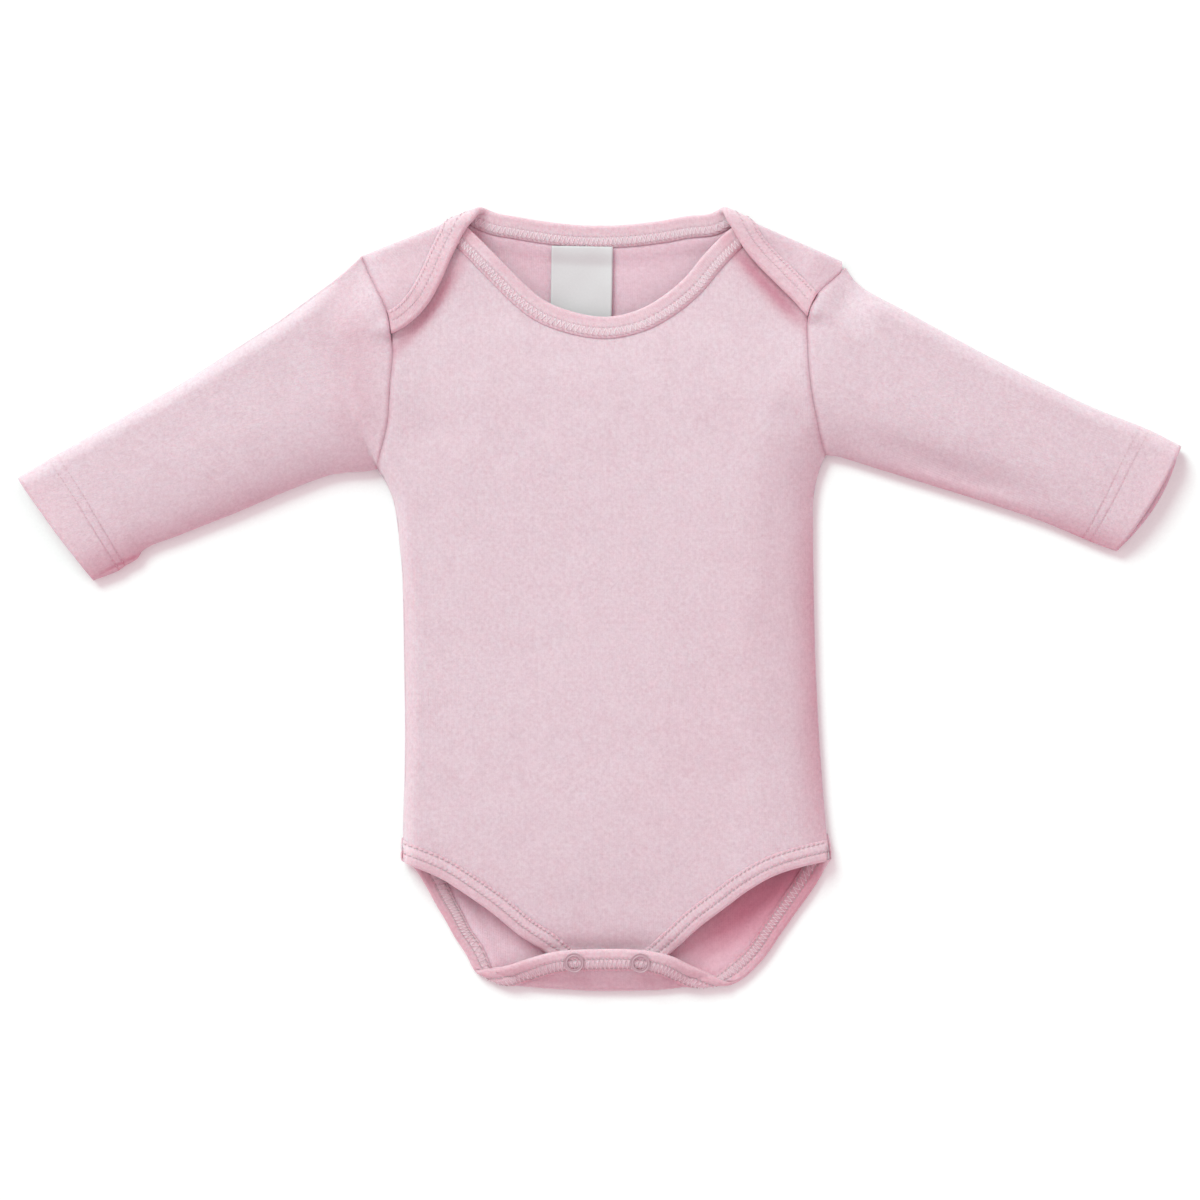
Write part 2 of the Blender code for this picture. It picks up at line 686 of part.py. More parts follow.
def cloth_object(name, bm, surface, material, collection, thickness=WALL):
    """Lays a pattern on its surface and gives it the cloth's thickness."""
    bmesh.ops.triangulate(bm, faces=bm.faces[:], quad_method="SHORT_EDGE")
    flat = np.array([v.co for v in bm.verts])
    for vert, place in zip(bm.verts, placed(surface, flat), strict=True):
        vert.co = (place - CENTRE) * MM
    return wall_object(name, bm, material, collection, thickness)


def wall_object(name, bm, material, collection, thickness=WALL):
    mesh = bpy.data.meshes.new(name)
    bm.normal_update()
    bm.to_mesh(mesh)
    bm.free()
    mesh.materials.append(material)
    mesh.shade_smooth()
    obj = bpy.data.objects.new(name, mesh)
    collection.objects.link(obj)
    wall = obj.modifiers.new("cloth", "SOLIDIFY")
    wall.thickness = thickness * MM
    wall.offset = 0.0
    wall.use_even_offset = True
    wall.use_quality_normals = True
    return obj


def corner_sides(left, right, at_top):
    """The directions in which the two sides leave an edge's corners."""
    step = -1 if at_top else 1
    ends = [np.array(side[::step][:2]) for side in (left, right)]
    return [unit(end[1] - end[0]) for end in ends]


def spread_columns(parts, stops):
    """Column places from 0 to 1: `parts` equal steps between each two stops."""
    places = [np.linspace(a, b, n, endpoint=False) for a, b, n in zip(stops, stops[1:], parts)]
    return np.concatenate([*places, [stops[-1]]])


def side_seam(side):
    """The side seam's stations from the leg's binding up to below the armpit."""
    sign = 1 if side == "left" else -1
    top = ARMHOLE[side][0].y
    heights = np.array([*SEAM_STATIONS, top - 16.0, top - 7.0])
    return [Point(read(SIDES, "y", side, y) + sign * WALL / 2, y) for y in heights]


def armhole_stations(side, shares, shift):
    """Stations of the armhole seam, moved sideways away from the body by shift."""
    sign = -1 if side == "left" else 1
    seam = ARMHOLE_SEAM[side]
    return [Point(p[0] + sign * shift, p[1]) for p in seam.at(np.array(shares) * seam.length)]


def leg_corner(side, end):
    return Point(end.x + (WALL / 2 if side == "left" else -WALL / 2), end.y)


def front_sides():
    """Left and right sides of the front: side seam, then armhole."""
    sides = []
    for side, end in (("left", FRONT_LEG[0]), ("right", FRONT_LEG[-1])):
        seam = armhole_stations(side, FRONT_ARMHOLE, -ARMHOLE_GAP)
        fold = FOLDS[side]
        above = ARMHOLE_SEAM[side].at(0.94 * ARMHOLE_SEAM[side].length)
        top = fold.join(fold.split(*above)[0], SHOULDER_ROLL + 1.6)
        sides.append([leg_corner(side, end), *side_seam(side), *seam, Point(*top)])
    return sides


# ---------------------------------------------------------------- the pieces

SEAM_STATIONS = (-113.0, -93.0, -67.0, -39.0, -11.0, 14.0, 34.0)
FRONT_ARMHOLE = (0.0, 0.10, 0.19, 0.30, 0.42, 0.54, 0.66, 0.77)
BACK_ARMHOLE = (0.0, 0.07, 0.30, 0.55, 0.80, 0.93)
LAP_ARMHOLE = {"left": (0.93, 0.86, 0.77), "right": (0.97, 0.945, 0.92)}
FRONT_STOPS = (0.0, 0.004, 0.015, 0.034, 0.06, 0.18, 0.80, 0.85, 0.90, 0.945, 0.98, 0.996, 1.0)
FRONT_PARTS = (1, 1, 1, 1, 3, 17, 1, 1, 1, 1, 1, 1)
FRONT_NECK_STOPS = (0.18, 0.80)
BACK_STOPS = (0.0, 0.003, 0.010, 0.024, 0.22, 0.28, 0.72, 0.78, 0.976, 0.990, 0.997, 1.0)
BACK_PARTS = (1, 1, 1, 5, 2, 10, 2, 5, 1, 1, 1)


def front_pieces(collection, cloth, band):
    left, right = front_sides()
    columns = spread_columns(FRONT_PARTS, FRONT_STOPS)
    neck = Curve(FRONT_NECK)
    first, last = neck.points[0], neck.points[-1]
    outline = Curve([left[-1], (left[-1] + first) / 2, first])
    at_first = outline.length
    outline.extend(neck)
    at_last = outline.length
    outline.extend(Curve([last, (last + right[-1]) / 2, right[-1]]))
    at = [0.0, at_first, at_last, outline.length]
    lengths = np.interp(columns, [0.0, *FRONT_NECK_STOPS, 1.0], at)
    bound = [int(np.argmin(np.abs(columns - stop))) for stop in FRONT_NECK_STOPS]
    high = Edge(outline, lengths, *corner_sides(left, right, True), -1, bound)
    legs = Curve([left[0], *FRONT_LEG[1:-1], right[0]])
    low = Edge(legs, columns * legs.length, *corner_sides(left, right, False), 1)
    rows = cut_panel(low, high, left, right, columns, (LEG_BAND, NECK_BAND))
    cloth_object("front_panel", grid_mesh(flat_rows(rows)), lay_front, cloth, collection)
    neck_band = band_rows(high, NECK_BAND)[:, bound[0] : bound[1] + 1]
    cloth_object("neck_binding_front", grid_mesh(neck_band), lay_front, band, collection)
    leg_band = band_rows(low, LEG_BAND)[::-1]
    cloth_object("leg_binding_front", grid_mesh(leg_band), lay_front, band, collection)


def back_outline():
    """The back's pattern: its two sides, its neck edge with the laps, and its leg edge."""
    sides = []
    for side in ("left", "right"):
        fold = FOLDS[side]
        hole = armhole_stations(side, BACK_ARMHOLE, -ARMHOLE_GAP)
        across = fold.shoulder.armhole_cross
        end = fold.split(*armhole_stations(side, (0.97,), -ARMHOLE_GAP)[0])[0]
        turned = ((end, SHOULDER_ROLL), (across, SHOULDER_ROLL * (1 - math.pi / 2)))
        turned = (*turned, (end, SHOULDER_ROLL * (1 - math.pi)))
        over = [Point(*fold.join(*place)) for place in turned]
        lap = armhole_stations(side, LAP_ARMHOLE[side], -ARMHOLE_GAP)
        lap = [Point(*unfold_lap(side, p.x, p.y)) for p in lap]
        tip = Point(*unfold_lap(side, *LAP_EDGE[side][0]))
        corner = leg_corner(side, BACK_LEG[side][0])
        sides.append([corner, *side_seam(side), *hole, *over, *lap, tip])
    neck = []
    ways = []
    for side in ("left", "right"):
        fold = FOLDS[side]
        seam = ARMHOLE_SEAM[side]
        tip = np.array(LAP_EDGE[side][0])
        above = seam.at(seam.nearest_length(tip) + 9.0)
        way = np.array(unfold_lap(side, *above)) - np.array(unfold_lap(side, *tip))
        ways.append(unit(way))
        lap = [Point(*unfold_lap(side, p.x, p.y)) for p in LAP_EDGE[side][1:]]
        upper = Point(*fold.join(fold.shoulder.upper_cross, SHOULDER_ROLL * (1 - math.pi)))
        lower = Point(*fold.join(fold.shoulder.lower_cross, SHOULDER_ROLL))
        neck.append([*lap, upper, lower])
    left, right = sides
    top = Curve([left[-1], *neck[0], *BACK_NECK, *neck[1][::-1], right[-1]])
    flap = [Point(*unfold_flap(p.x, p.y)) for p in FLAP_EDGE]
    legs = {
        side: [Point(*unfold_under(p.x, p.y)) for p in BACK_LEG[side][1:]] for side in BACK_LEG
    }
    bottom = Curve([left[0], *legs["left"], *flap, *legs["right"][::-1], right[0]])
    return left, right, top, bottom, ways


BACK_LEFT, BACK_RIGHT, NECK_EDGE_BACK, LEG_EDGE_BACK, LAP_WAYS = back_outline()


def back_pieces(collection, cloth, band):
    columns = spread_columns(BACK_PARTS, BACK_STOPS)
    high = Edge(NECK_EDGE_BACK, columns * NECK_EDGE_BACK.length, *LAP_WAYS, -1)
    sides = corner_sides(BACK_LEFT, BACK_RIGHT, False)
    low = Edge(LEG_EDGE_BACK, columns * LEG_EDGE_BACK.length, *sides, 1)
    bands = (LEG_BAND, NECK_BAND)
    rows = cut_panel(low, high, BACK_LEFT, BACK_RIGHT, columns, bands)
    for name, pattern, material in (
        ("back_panel", flat_rows(rows), cloth),
        ("neck_binding_back", band_rows(high, NECK_BAND), band),
        ("leg_binding_back", band_rows(low, LEG_BAND)[::-1], band),
    ):
        bm = grid_mesh(pattern)
        crease_pattern(bm, back_creases())
        cloth_object(name, bm, fold_back, material, collection)


ARM_UPPER = (1.0, 0.992, 0.965, 0.92, 0.86, 0.77, 0.66, 0.54, 0.42, 0.30, 0.19, 0.10, 0.045, 0.012)
ARM_LOWER = (0.0, 0.010, 0.035, 0.07, 0.30, 0.55, 0.80, 0.93, 0.965, 0.990)


def sleeve_lift(side, x, y):
    """The left sleeve rises to its lap; the right one stays a step below."""
    share = {"left": 1.0, "right": 0.35}[side]
    tip = LAP_EDGE[side][0].y
    near = ease(1 - ARMHOLE_SEAM[side].distance(x, y) / 16.0)
    return share * LAP_LIFT_AT_ARMHOLE * near * ease((y - tip + 3.0) / 9.0)


def sleeve_piece(side, collection, cloth):
    sleeve = SLEEVES[side]
    seam = ARMHOLE_SEAM[side]
    steps = np.linspace(0.0, 1.0, 19)
    top_start = arm_frame(sleeve, *seam.points[-1])[0]
    low_start = arm_frame(sleeve, *seam.points[0])[0]
    (top_end, _), (low_end, _) = sleeve.cuff
    along_top = top_start + (top_end - top_start) * steps
    along_low = low_start + (low_end - low_start) * steps
    top = arm_place(sleeve, along_top, arm_edges(sleeve, along_top)[0])
    low = arm_place(sleeve, along_low, arm_edges(sleeve, along_low)[1])
    rows = []
    for shares, is_upper in ((ARM_UPPER, True), (ARM_LOWER, False)):
        w = np.array(shares)
        hole = np.array(armhole_stations(side, shares, ARMHOLE_GAP))
        cuff = low[-1] + w[:, None] * (top[-1] - low[-1])
        bow = sleeve.cuff_bow * (0.35 if is_upper else 1.0) * 4 * w * (1 - w)
        cuff = cuff + bow[:, None] * unit(sleeve.heading)
        v, share = steps[:, None, None], w[None, :, None]
        plan = (1 - v) * hole[None] + v * cuff[None]
        plan = plan + (1 - share) * low[:, None] + share * top[:, None]
        plan = plan - (1 - share) * ((1 - v) * low[0] + v * low[-1])
        plan = plan - share * ((1 - v) * top[0] + v * top[-1])
        x, y = plan[..., 0], plan[..., 1]
        if is_upper:
            z = upper_height(x, y) + sleeve_lift(side, x, y)
        else:
            z = lower_height(x, y)
        rows.append(np.stack([x, y, z], axis=-1))
    ring = np.concatenate(rows, axis=1)
    ring = (np.concatenate([ring, ring[:, :1]], axis=1) - CENTRE) * MM
    bm = grid_mesh(ring if side == "right" else ring[:, ::-1])
    bmesh.ops.remove_doubles(bm, verts=bm.verts[:], dist=0.00005)
    wall_object(sleeve.name, bm, cloth, collection)


def label_piece(collection, material):
    wide, high = LABEL_SIZE
    u = np.linspace(-wide / 2, wide / 2, 5)
    v = np.linspace(-high / 2, high / 2, 6)
    uu, vv = np.meshgrid(u, v)
    c, s = math.cos(LABEL_TURN), math.sin(LABEL_TURN)
    x = LABEL_CENTRE[0] + c * uu - s * vv
    y = LABEL_CENTRE[1] + s * uu + c * vv
    rows = np.stack([x, y, np.full(x.shape, LEAF + GAP)], axis=-1)
    cloth_object("label", grid_mesh(rows), fold_back, material, collection)


def turned_piece(name, profile, centre, material, collection):
    """A round piece from (radius, height) points, closed on itself or at the axis."""
    mesh = bpy.data.meshes.new(name)
    bm = bmesh.new()
    verts = [bm.verts.new((r * MM, 0.0, z * MM)) for r, z in profile]
    pairs = list(zip(verts, verts[1:]))
    if profile[0][0] > 0 and profile[-1][0] > 0:
        pairs.append((verts[-1], verts[0]))
    for pair in pairs:
        bm.edges.new(pair)
    bm.to_mesh(mesh)
    bm.free()
    mesh.materials.append(material)
    obj = bpy.data.objects.new(name, mesh)
    obj.location = (np.array([*centre, 0.0]) - CENTRE) * MM
    collection.objects.link(obj)
    screw = obj.modifiers.new("turn", "SCREW")
    screw.steps = screw.render_steps = 16
    screw.use_merge_vertices = True
    screw.merge_threshold = 0.00001
    screw.use_smooth_shade = True
    return obj


def ring_profile(radius, wire, low, high):
    """A flattened ring's section, from its outer side down and round."""
    middle, half = (low + high) / 2, (high - low) / 2
    turns = [math.pi / 2 - k * math.pi / 3 for k in range(6)]
    return [(radius + wire * math.cos(t), middle + half * math.sin(t)) for t in turns]


def snap_pieces(side, centre, collection, material):
    flap_top = FLAP_HEIGHT + LEAF + WALL / 2 + GAP
    flap_under = FLAP_HEIGHT - LEAF - WALL / 2 - GAP
    tab_top = SEAM + LEAF + WALL / 2 + GAP
    tab_under = SEAM - LEAF - WALL / 2 - GAP
    ring = ring_profile(SNAP_RING, SNAP_WIRE, flap_top, flap_top + 1.1)
    turned_piece(f"snap_ring_{side}", ring, centre, material, collection)
    ring = ring_profile(SNAP_RING, SNAP_WIRE, WALL + GAP, tab_under)
    turned_piece(f"snap_back_ring_{side}", ring, centre, material, collection)
    base = tab_top + 0.6
    stud = [(0.0, base + 0.9), (SNAP_POST, base + 0.9), (SNAP_POST, base)]
    stud = stud + [(SNAP_DISC, base), (SNAP_DISC, tab_top), (0.0, tab_top)]
    turned_piece(f"snap_stud_{side}", stud, centre, material, collection)
    hole = SNAP_POST + 0.35
    low = base + GAP
    socket = [(hole, flap_under), (SNAP_DISC, flap_under), (SNAP_DISC, low), (hole, low)]
    turned_piece(f"snap_socket_{side}", socket, centre, material, collection)


def main():
    collection = new_collection()
    cloth = finish_of("pink_jersey", PINK, 0.95)
    band = finish_of("pink_binding", BAND_PINK, 0.95)
    white = finish_of("white_label", WHITE, 0.8)
    snap = finish_of("pink_snap", SNAP_PINK, 0.45)
    front_pieces(collection, cloth, band)
    back_pieces(collection, cloth, band)
    for side in SLEEVES:
        sleeve_piece(side, collection, cloth)
    label_piece(collection, white)
    for side, centre in zip(("left", "right"), SNAP_AT, strict=True):
        snap_pieces(side, centre, collection, snap)


main()
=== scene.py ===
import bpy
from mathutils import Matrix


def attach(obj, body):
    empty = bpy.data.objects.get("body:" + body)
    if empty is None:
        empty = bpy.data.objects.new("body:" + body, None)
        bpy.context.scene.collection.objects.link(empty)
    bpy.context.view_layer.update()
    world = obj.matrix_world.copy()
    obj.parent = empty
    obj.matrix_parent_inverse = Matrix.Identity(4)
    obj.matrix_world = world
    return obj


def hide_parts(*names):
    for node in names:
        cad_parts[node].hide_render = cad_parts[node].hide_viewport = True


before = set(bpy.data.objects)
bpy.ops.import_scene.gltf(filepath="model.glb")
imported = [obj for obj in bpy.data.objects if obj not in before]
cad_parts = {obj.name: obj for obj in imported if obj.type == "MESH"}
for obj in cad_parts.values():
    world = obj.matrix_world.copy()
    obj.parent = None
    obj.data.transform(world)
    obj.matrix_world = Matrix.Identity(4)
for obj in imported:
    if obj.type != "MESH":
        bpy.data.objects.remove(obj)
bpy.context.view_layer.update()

import copy
import math

import bmesh
import bpy
import numpy as np
from mathutils import Matrix, Vector

mm = 0.001  # lengths below are millimetres until a mesh is made

# the laid-out garment: x to the right, y from crotch to neck, z up
garment = {
    "middle": np.array([-0.27, -0.24, 0.0]),  # of the outline, goes to the origin
    "wall": 0.9,
    "rim": 0.5,  # from the outline in to the wall's middle
    "leaf": 1.25,  # middle of a panel to the middle of a binding's leaf
    "neckBand": 11.0,
    "legBand": 10.5,
    "floor": 0.5,  # the lower layer's middle
    "seam": 4.0,  # where front and back meet
    "seamSlot": 0.35,  # how far the lower layer drops clear of it
    "legSlot": 1.0,  # more of that at the hips
    "leftReach": 6.5,  # how far in the left side rounds up
    "edgeFlat": 0.5,  # the front leaves the side seams from here
    "sidesBelow": 60.0,  # below it the body's edges are side seams
    "rightReach": 37.0,  # the right side slopes for longer
    "shoulderReach": 28.0,
    "lowerReach": 4.0,  # the lower layer rises to the seam over this
    "blend": 5,  # how sharply body and sleeves meet
    "bodyArch": 1.8,
    "sleeveArch": 2.6,
    "seamDip": 0.6,  # how deep the armhole seam draws the cloth in
    "seamWidth": 1.5,
    "setback": 2.1,  # a panel ends so far inside its binding
    "shoulderRoll": 3.3,
    "crotchRoll": 4.5,
    "crotchLine": -195.85,  # where the flap folds
    "flapHeight": 10.3,
    "flapTop": -177.0,  # from here the flap leans down towards its fold
    "flapLean": 0.028,
    "lapLift": 3.9,  # a shoulder lap, above the front
    "lapLiftAtArmhole": 2.9,
}

# y, left, right of the body
sideTable = [
    (-205.0, -98.3, 114.6), (-130.0, -98.3, 114.6), (-110.0, -98.6, 112.8), (-80.0, -97.6, 110.5),
    (-35.0, -98.1, 108.1), (10.0, -99.0, 107.0), (30.0, -100.7, 106.8), (47.0, -103.0, 106.6),
    (55.0, -105.7, 107.6), (62.0, -109.3, 109.2), (68.0, -113.0, 111.3), (80.0, -119.0, 117.0),
    (95.0, -127.0, 127.0), (205.0, -140.0, 140.0),
]
# y, height of the front along its middle
crestTable = [
    (-205.0, 4.0), (-175.0, 4.0), (-172.0, 5.2), (-167.0, 7.2), (-150.0, 10.6), (-128.0, 13.8),
    (-100.0, 15.8), (-50.0, 17.0), (50.0, 17.2), (100.0, 16.0), (125.0, 13.4), (141.0, 11.2),
    (165.0, 9.6), (205.0, 8.5),
]
# x, y, height, spread of the places where stacked edges lift the seam
riseTable = [
    (-66.0, 188.0, 2.0, 15.0),
    (64.5, 188.0, 2.0, 15.0),
    (-98.5, -131.0, 1.6, 16.0),
    (115.0, -131.0, 1.6, 16.0),
]
# distance along a sleeve, its top edge, bottom edge and height
armTables = {
    "left": [
        (-20.0, 56.9, -46.0, 15.5), (0.0, 51.3, -45.2, 15.5), (20.0, 47.6, -43.8, 15.5),
        (30.0, 45.8, -41.6, 15.2), (40.0, 44.2, -37.6, 15.0), (50.0, 43.1, -34.9, 14.8),
        (70.0, 40.8, -33.1, 14.4), (100.0, 37.5, -31.6, 13.4), (118.0, 36.4, -30.2, 12.5),
        (130.0, 35.6, -29.4, 11.8), (144.0, 34.8, -28.0, 11.0), (148.5, 34.5, -28.4, 10.8),
        (153.5, 34.2, -31.2, 10.4), (159.0, 33.9, -31.4, 10.1), (164.0, 33.6, -32.2, 9.9),
        (178.0, 32.6, -31.2, 9.2), (192.0, 31.4, -31.0, 8.6),
    ],
    "right": [
        (-20.0, 57.0, -44.0, 15.5), (-4.0, 48.4, -43.0, 15.5), (4.0, 43.6, -42.6, 15.5),
        (12.0, 41.6, -42.2, 15.5), (22.0, 40.6, -41.6, 15.2), (30.0, 39.9, -39.7, 15.0),
        (50.0, 37.6, -38.0, 14.8), (80.0, 34.5, -35.4, 14.2), (110.0, 32.2, -33.0, 13.0),
        (140.0, 30.6, -31.5, 11.4), (165.0, 31.0, -31.9, 10.0), (188.0, 29.4, -30.4, 8.8),
    ],
}
sleeves = {
    "left": {
        "origin": (-107.5, 114.25),
        "heading": (-0.8998, -0.4362),
        "topReach": 7.5,
        "bottomReach": 42.0,
        "cuffTop": (188.7, 31.4),
        "cuffBottom": (177.2, -31.2),
        "cuffBow": 1.5,
        "liftShare": 1.0,
        "hemRows": (18.0, 22.6),  # twin needle, from the cuff's edge
        "length": 198.0,
    },
    "right": {
        "origin": (107.5, 119.25),
        "heading": (0.9256, -0.3785),
        "topReach": 7.5,
        "bottomReach": 41.0,
        "cuffTop": (185.7, 29.6),
        "cuffBottom": (176.2, -30.8),
        "cuffBow": 5.0,
        "liftShare": 0.95,
        "hemRows": (18.0, 22.6),
        "length": 188.0,
    },
}
armholes = {  # from the armpit up to the shoulder fold
    "left": [
        (-111.2, 65.2), (-108.0, 77.3), (-105.5, 88.3), (-104.5, 105.3), (-103.2, 121.8),
        (-104.3, 131.8), (-105.8, 141.8), (-109.2, 149.8), (-115.0, 161.3), (-118.9, 170.6),
    ],
    "right": [
        (112.6, 72.2), (111.0, 77.0), (108.0, 89.8), (105.0, 105.3), (103.5, 123.8),
        (103.7, 139.8), (106.3, 148.0), (109.2, 152.8), (115.2, 158.3), (122.3, 165.0),
    ],
}
shoulders = {  # the fold's ends, and where the edges cross it
    "left": {
        "outer": (-119.0, 170.9),
        "inner": (-56.5, 195.6),
        "lowerCross": 69.6,
        "upperCross": 60.0,
        "armholeCross": 0.0,
    },
    "right": {
        "outer": (122.6, 167.4),
        "inner": (58.5, 195.8),
        "lowerCross": 71.0,
        "upperCross": 64.5,
        "armholeCross": 2.2,
    },
}
lapEdges = {  # in plan, from the tip at the armhole to the neck
    "left": [
        (-103.7, 131.5), (-96.5, 135.6), (-87.0, 144.7), (-79.5, 157.3), (-73.5, 171.3),
        (-66.0, 185.4),
    ],
    "right": [
        (103.1, 140.3), (95.5, 149.0), (87.5, 157.0), (79.0, 165.8), (72.0, 174.3),
        (65.2, 185.6),
    ],
}
backNeck = [
    (-42.0, 191.2), (-30.0, 189.2), (-15.0, 187.3), (0.0, 186.7), (15.0, 187.3),
    (30.5, 189.2), (43.5, 191.5),
]
frontNeck = [
    (-68.5, 187.0), (-64.5, 183.9), (-49.5, 168.8), (-36.0, 155.3), (-26.0, 147.8),
    (-8.5, 141.8), (5.5, 140.7), (22.0, 145.3), (40.5, 158.3), (52.5, 172.4),
    (62.5, 182.6), (67.5, 186.6),
]
frontLeg = [
    (-99.0, -131.5), (-93.0, -133.7), (-79.5, -139.6), (-64.0, -149.7), (-53.5, -157.3),
    (-41.0, -167.8), (-27.5, -176.8), (-19.0, -184.5), (-10.0, -188.8), (4.5, -189.6),
    (19.0, -188.8), (28.0, -184.5), (36.5, -176.6), (49.5, -164.3), (62.0, -154.7),
    (74.5, -145.3), (87.0, -138.3), (99.5, -134.3), (115.2, -131.0),
]
backLeg = {
    "left": [
        (-99.0, -131.5), (-93.5, -134.6), (-87.0, -144.3), (-80.0, -156.8), (-73.5, -168.3),
        (-67.0, -178.3),
    ],
    "right": [
        (115.2, -131.0), (111.9, -136.6), (108.0, -143.3), (99.5, -155.3), (91.0, -167.3),
        (82.0, -180.3),
    ],
}
flapEdge = [
    (-60.5, -185.8), (-49.0, -183.9), (-37.5, -180.3), (-26.0, -176.8), (-14.5, -175.3),
    (4.0, -174.7), (25.0, -175.8), (35.5, -178.3), (44.5, -182.8), (53.0, -186.8),
    (61.5, -190.9),
]
# x, rise of the flap's fold over a straight line
bowTable = [
    (-75.0, 13.0), (-60.5, 9.4), (-55.0, 6.6), (-43.5, 2.6), (-18.0, 0.6), (0.0, -0.2),
    (25.0, 0.1), (41.5, 1.6), (58.0, 3.4), (69.5, 4.0), (84.0, 5.5),
]
bow = {"from": -185.0, "fade": 45.0}

# soft folds: start, bend, end, width, depth (a trough is below zero)
creaseTable = [
    ((118.0, 86.0), (177.0, 62.0), (236.0, 46.0), 7.0, -3.6),
    # the underarm seam shows at the left cuff, gathered by the hem's needle rows
    ((-254.5, 9.2), (-241.0, 17.6), (-222.0, 26.0), 0.8, -1.1),
    ((-243.5, 23.0), (-241.0, 18.0), (-237.0, 14.0), 0.9, -0.7),
    ((-239.5, 25.0), (-237.0, 20.5), (-233.0, 16.0), 0.9, -0.7),
    ((-234.5, 26.5), (-232.5, 22.0), (-229.0, 18.5), 0.9, -0.6),
    ((-250.0, 24.0), (-246.0, 17.0), (-243.0, 12.0), 2.5, -0.6),
    ((-96.0, 92.0), (-78.0, 84.0), (-62.0, 74.0), 7.0, -0.9),
    ((84.0, 96.0), (94.0, 91.0), (103.0, 84.0), 8.0, -1.2),
]

# painted shade, darker and pinker where the garment's shadows fall and light bounces between pink
# layers: strokes as above
paintedShadeTable = {
    "front_panel": [
        ((-116.0, 112.0), (-80.0, 138.0), (-56.0, 196.0), 3.5, 1.0),
        ((112.0, 128.0), (84.0, 152.0), (50.0, 196.0), 4.5, 1.4),
        ((108.0, 100.0), (104.0, -20.0), (114.0, -190.0), 9.0, 0.8),
        ((104.0, 110.0), (90.0, -40.0), (0.0, -160.0), 28.0, 0.14),
        ((-50.0, -176.0), (0.0, -170.0), (50.0, -176.0), 9.0, 0.25),
        ((-100.0, 60.0), (-98.0, -30.0), (-98.0, -160.0), 5.0, 0.55),
    ],
    "back_panel": [
        ((156.0, -84.0), (90.0, -148.0), (18.0, -196.0), 18.0, 1.45),
        ((-96.0, -190.0), (0.0, -192.0), (96.0, -194.0), 8.0, 0.75),
        ((-108.0, -128.0), (-60.0, -150.0), (-8.0, -198.0), 5.0, 0.25),
        ((-92.0, 204.0), (-46.0, 172.0), (16.0, 122.0), 17.0, 0.15),
        ((-132.0, 130.0), (-95.0, 162.0), (-58.0, 204.0), 17.0, 0.3),
        ((134.0, 134.0), (95.0, 166.0), (56.0, 204.0), 17.0, 0.3),
    ],
    "leg_binding_back": [
        ((128.0, -112.0), (96.0, -150.0), (52.0, -200.0), 13.0, 1.0),
        ((-96.0, -190.0), (0.0, -188.0), (96.0, -194.0), 8.0, 0.6),
        ((-112.0, -112.0), (-84.0, -156.0), (-56.0, -204.0), 12.0, 0.6),
    ],
    "neck_binding_back": [
        ((-132.0, 112.0), (-85.0, 150.0), (-58.0, 204.0), 14.0, 0.25),
        ((134.0, 116.0), (85.0, 160.0), (56.0, 204.0), 14.0, 0.25),
    ],
    "neck_binding_front": [
        ((-116.0, 112.0), (-80.0, 138.0), (-56.0, 196.0), 4.5, 0.8),
        ((112.0, 128.0), (84.0, 152.0), (50.0, 196.0), 5.0, 0.9),
    ],
    "sleeve_left": [
        ((-300.0, -12.0), (-190.0, 44.0), (-80.0, 70.0), 10.0, 0.7),
        ((-266.0, 4.0), (-244.0, 16.0), (-214.0, 26.0), 11.0, 0.35),
        ((-132.0, 190.0), (-116.0, 120.0), (-122.0, 40.0), 12.0, 0.35),
        ((-258.0, 7.5), (-241.0, 17.6), (-219.0, 27.0), 0.8, 0.6),
    ],
    "sleeve_right": [
        ((306.0, 2.0), (200.0, 44.0), (80.0, 80.0), 10.0, 0.85),
        ((276.0, 16.0), (250.0, 24.0), (214.0, 36.0), 10.0, 0.35),
    ],
}


def ease(t):
    t = np.clip(t, 0.0, 1.0)
    return t * t * (3 - 2 * t)


def bulge(distance, reach):
    t = np.clip(np.asarray(distance) / reach, 0.0, 1.0)
    return np.sqrt(1 - (1 - t) ** 2)


def unit(v):
    v = np.asarray(v, float)
    return v / np.linalg.norm(v, axis=-1, keepdims=True)


def readTable(rows, column, at):
    # a column between its rows, along a curve that never overshoots
    xs = np.array([row[0] for row in rows])
    ys = np.array([row[column] for row in rows])
    step = np.diff(xs)
    slope = np.diff(ys) / step
    tangent = np.zeros(len(xs))
    same = slope[:-1] * slope[1:] > 0
    both = np.where(same, slope[:-1] + slope[1:], 1.0)
    tangent[1:-1] = np.where(same, 2 * slope[:-1] * slope[1:] / both, 0.0)
    tangent[0], tangent[-1] = slope[0], slope[-1]
    at = np.clip(np.asarray(at, float), xs[0], xs[-1])
    i = np.clip(np.searchsorted(xs, at) - 1, 0, len(step) - 1)
    t = (at - xs[i]) / step[i]
    start = ys[i] * (1 + 2 * t) * (1 - t) ** 2 + tangent[i] * step[i] * t * (1 - t) ** 2
    end = ys[i + 1] * t**2 * (3 - 2 * t) + tangent[i + 1] * step[i] * t**2 * (t - 1)
    return start + end


def between(t, low, high, first, second):
    return (high - t) / (high - low) * first + (t - low) / (high - low) * second


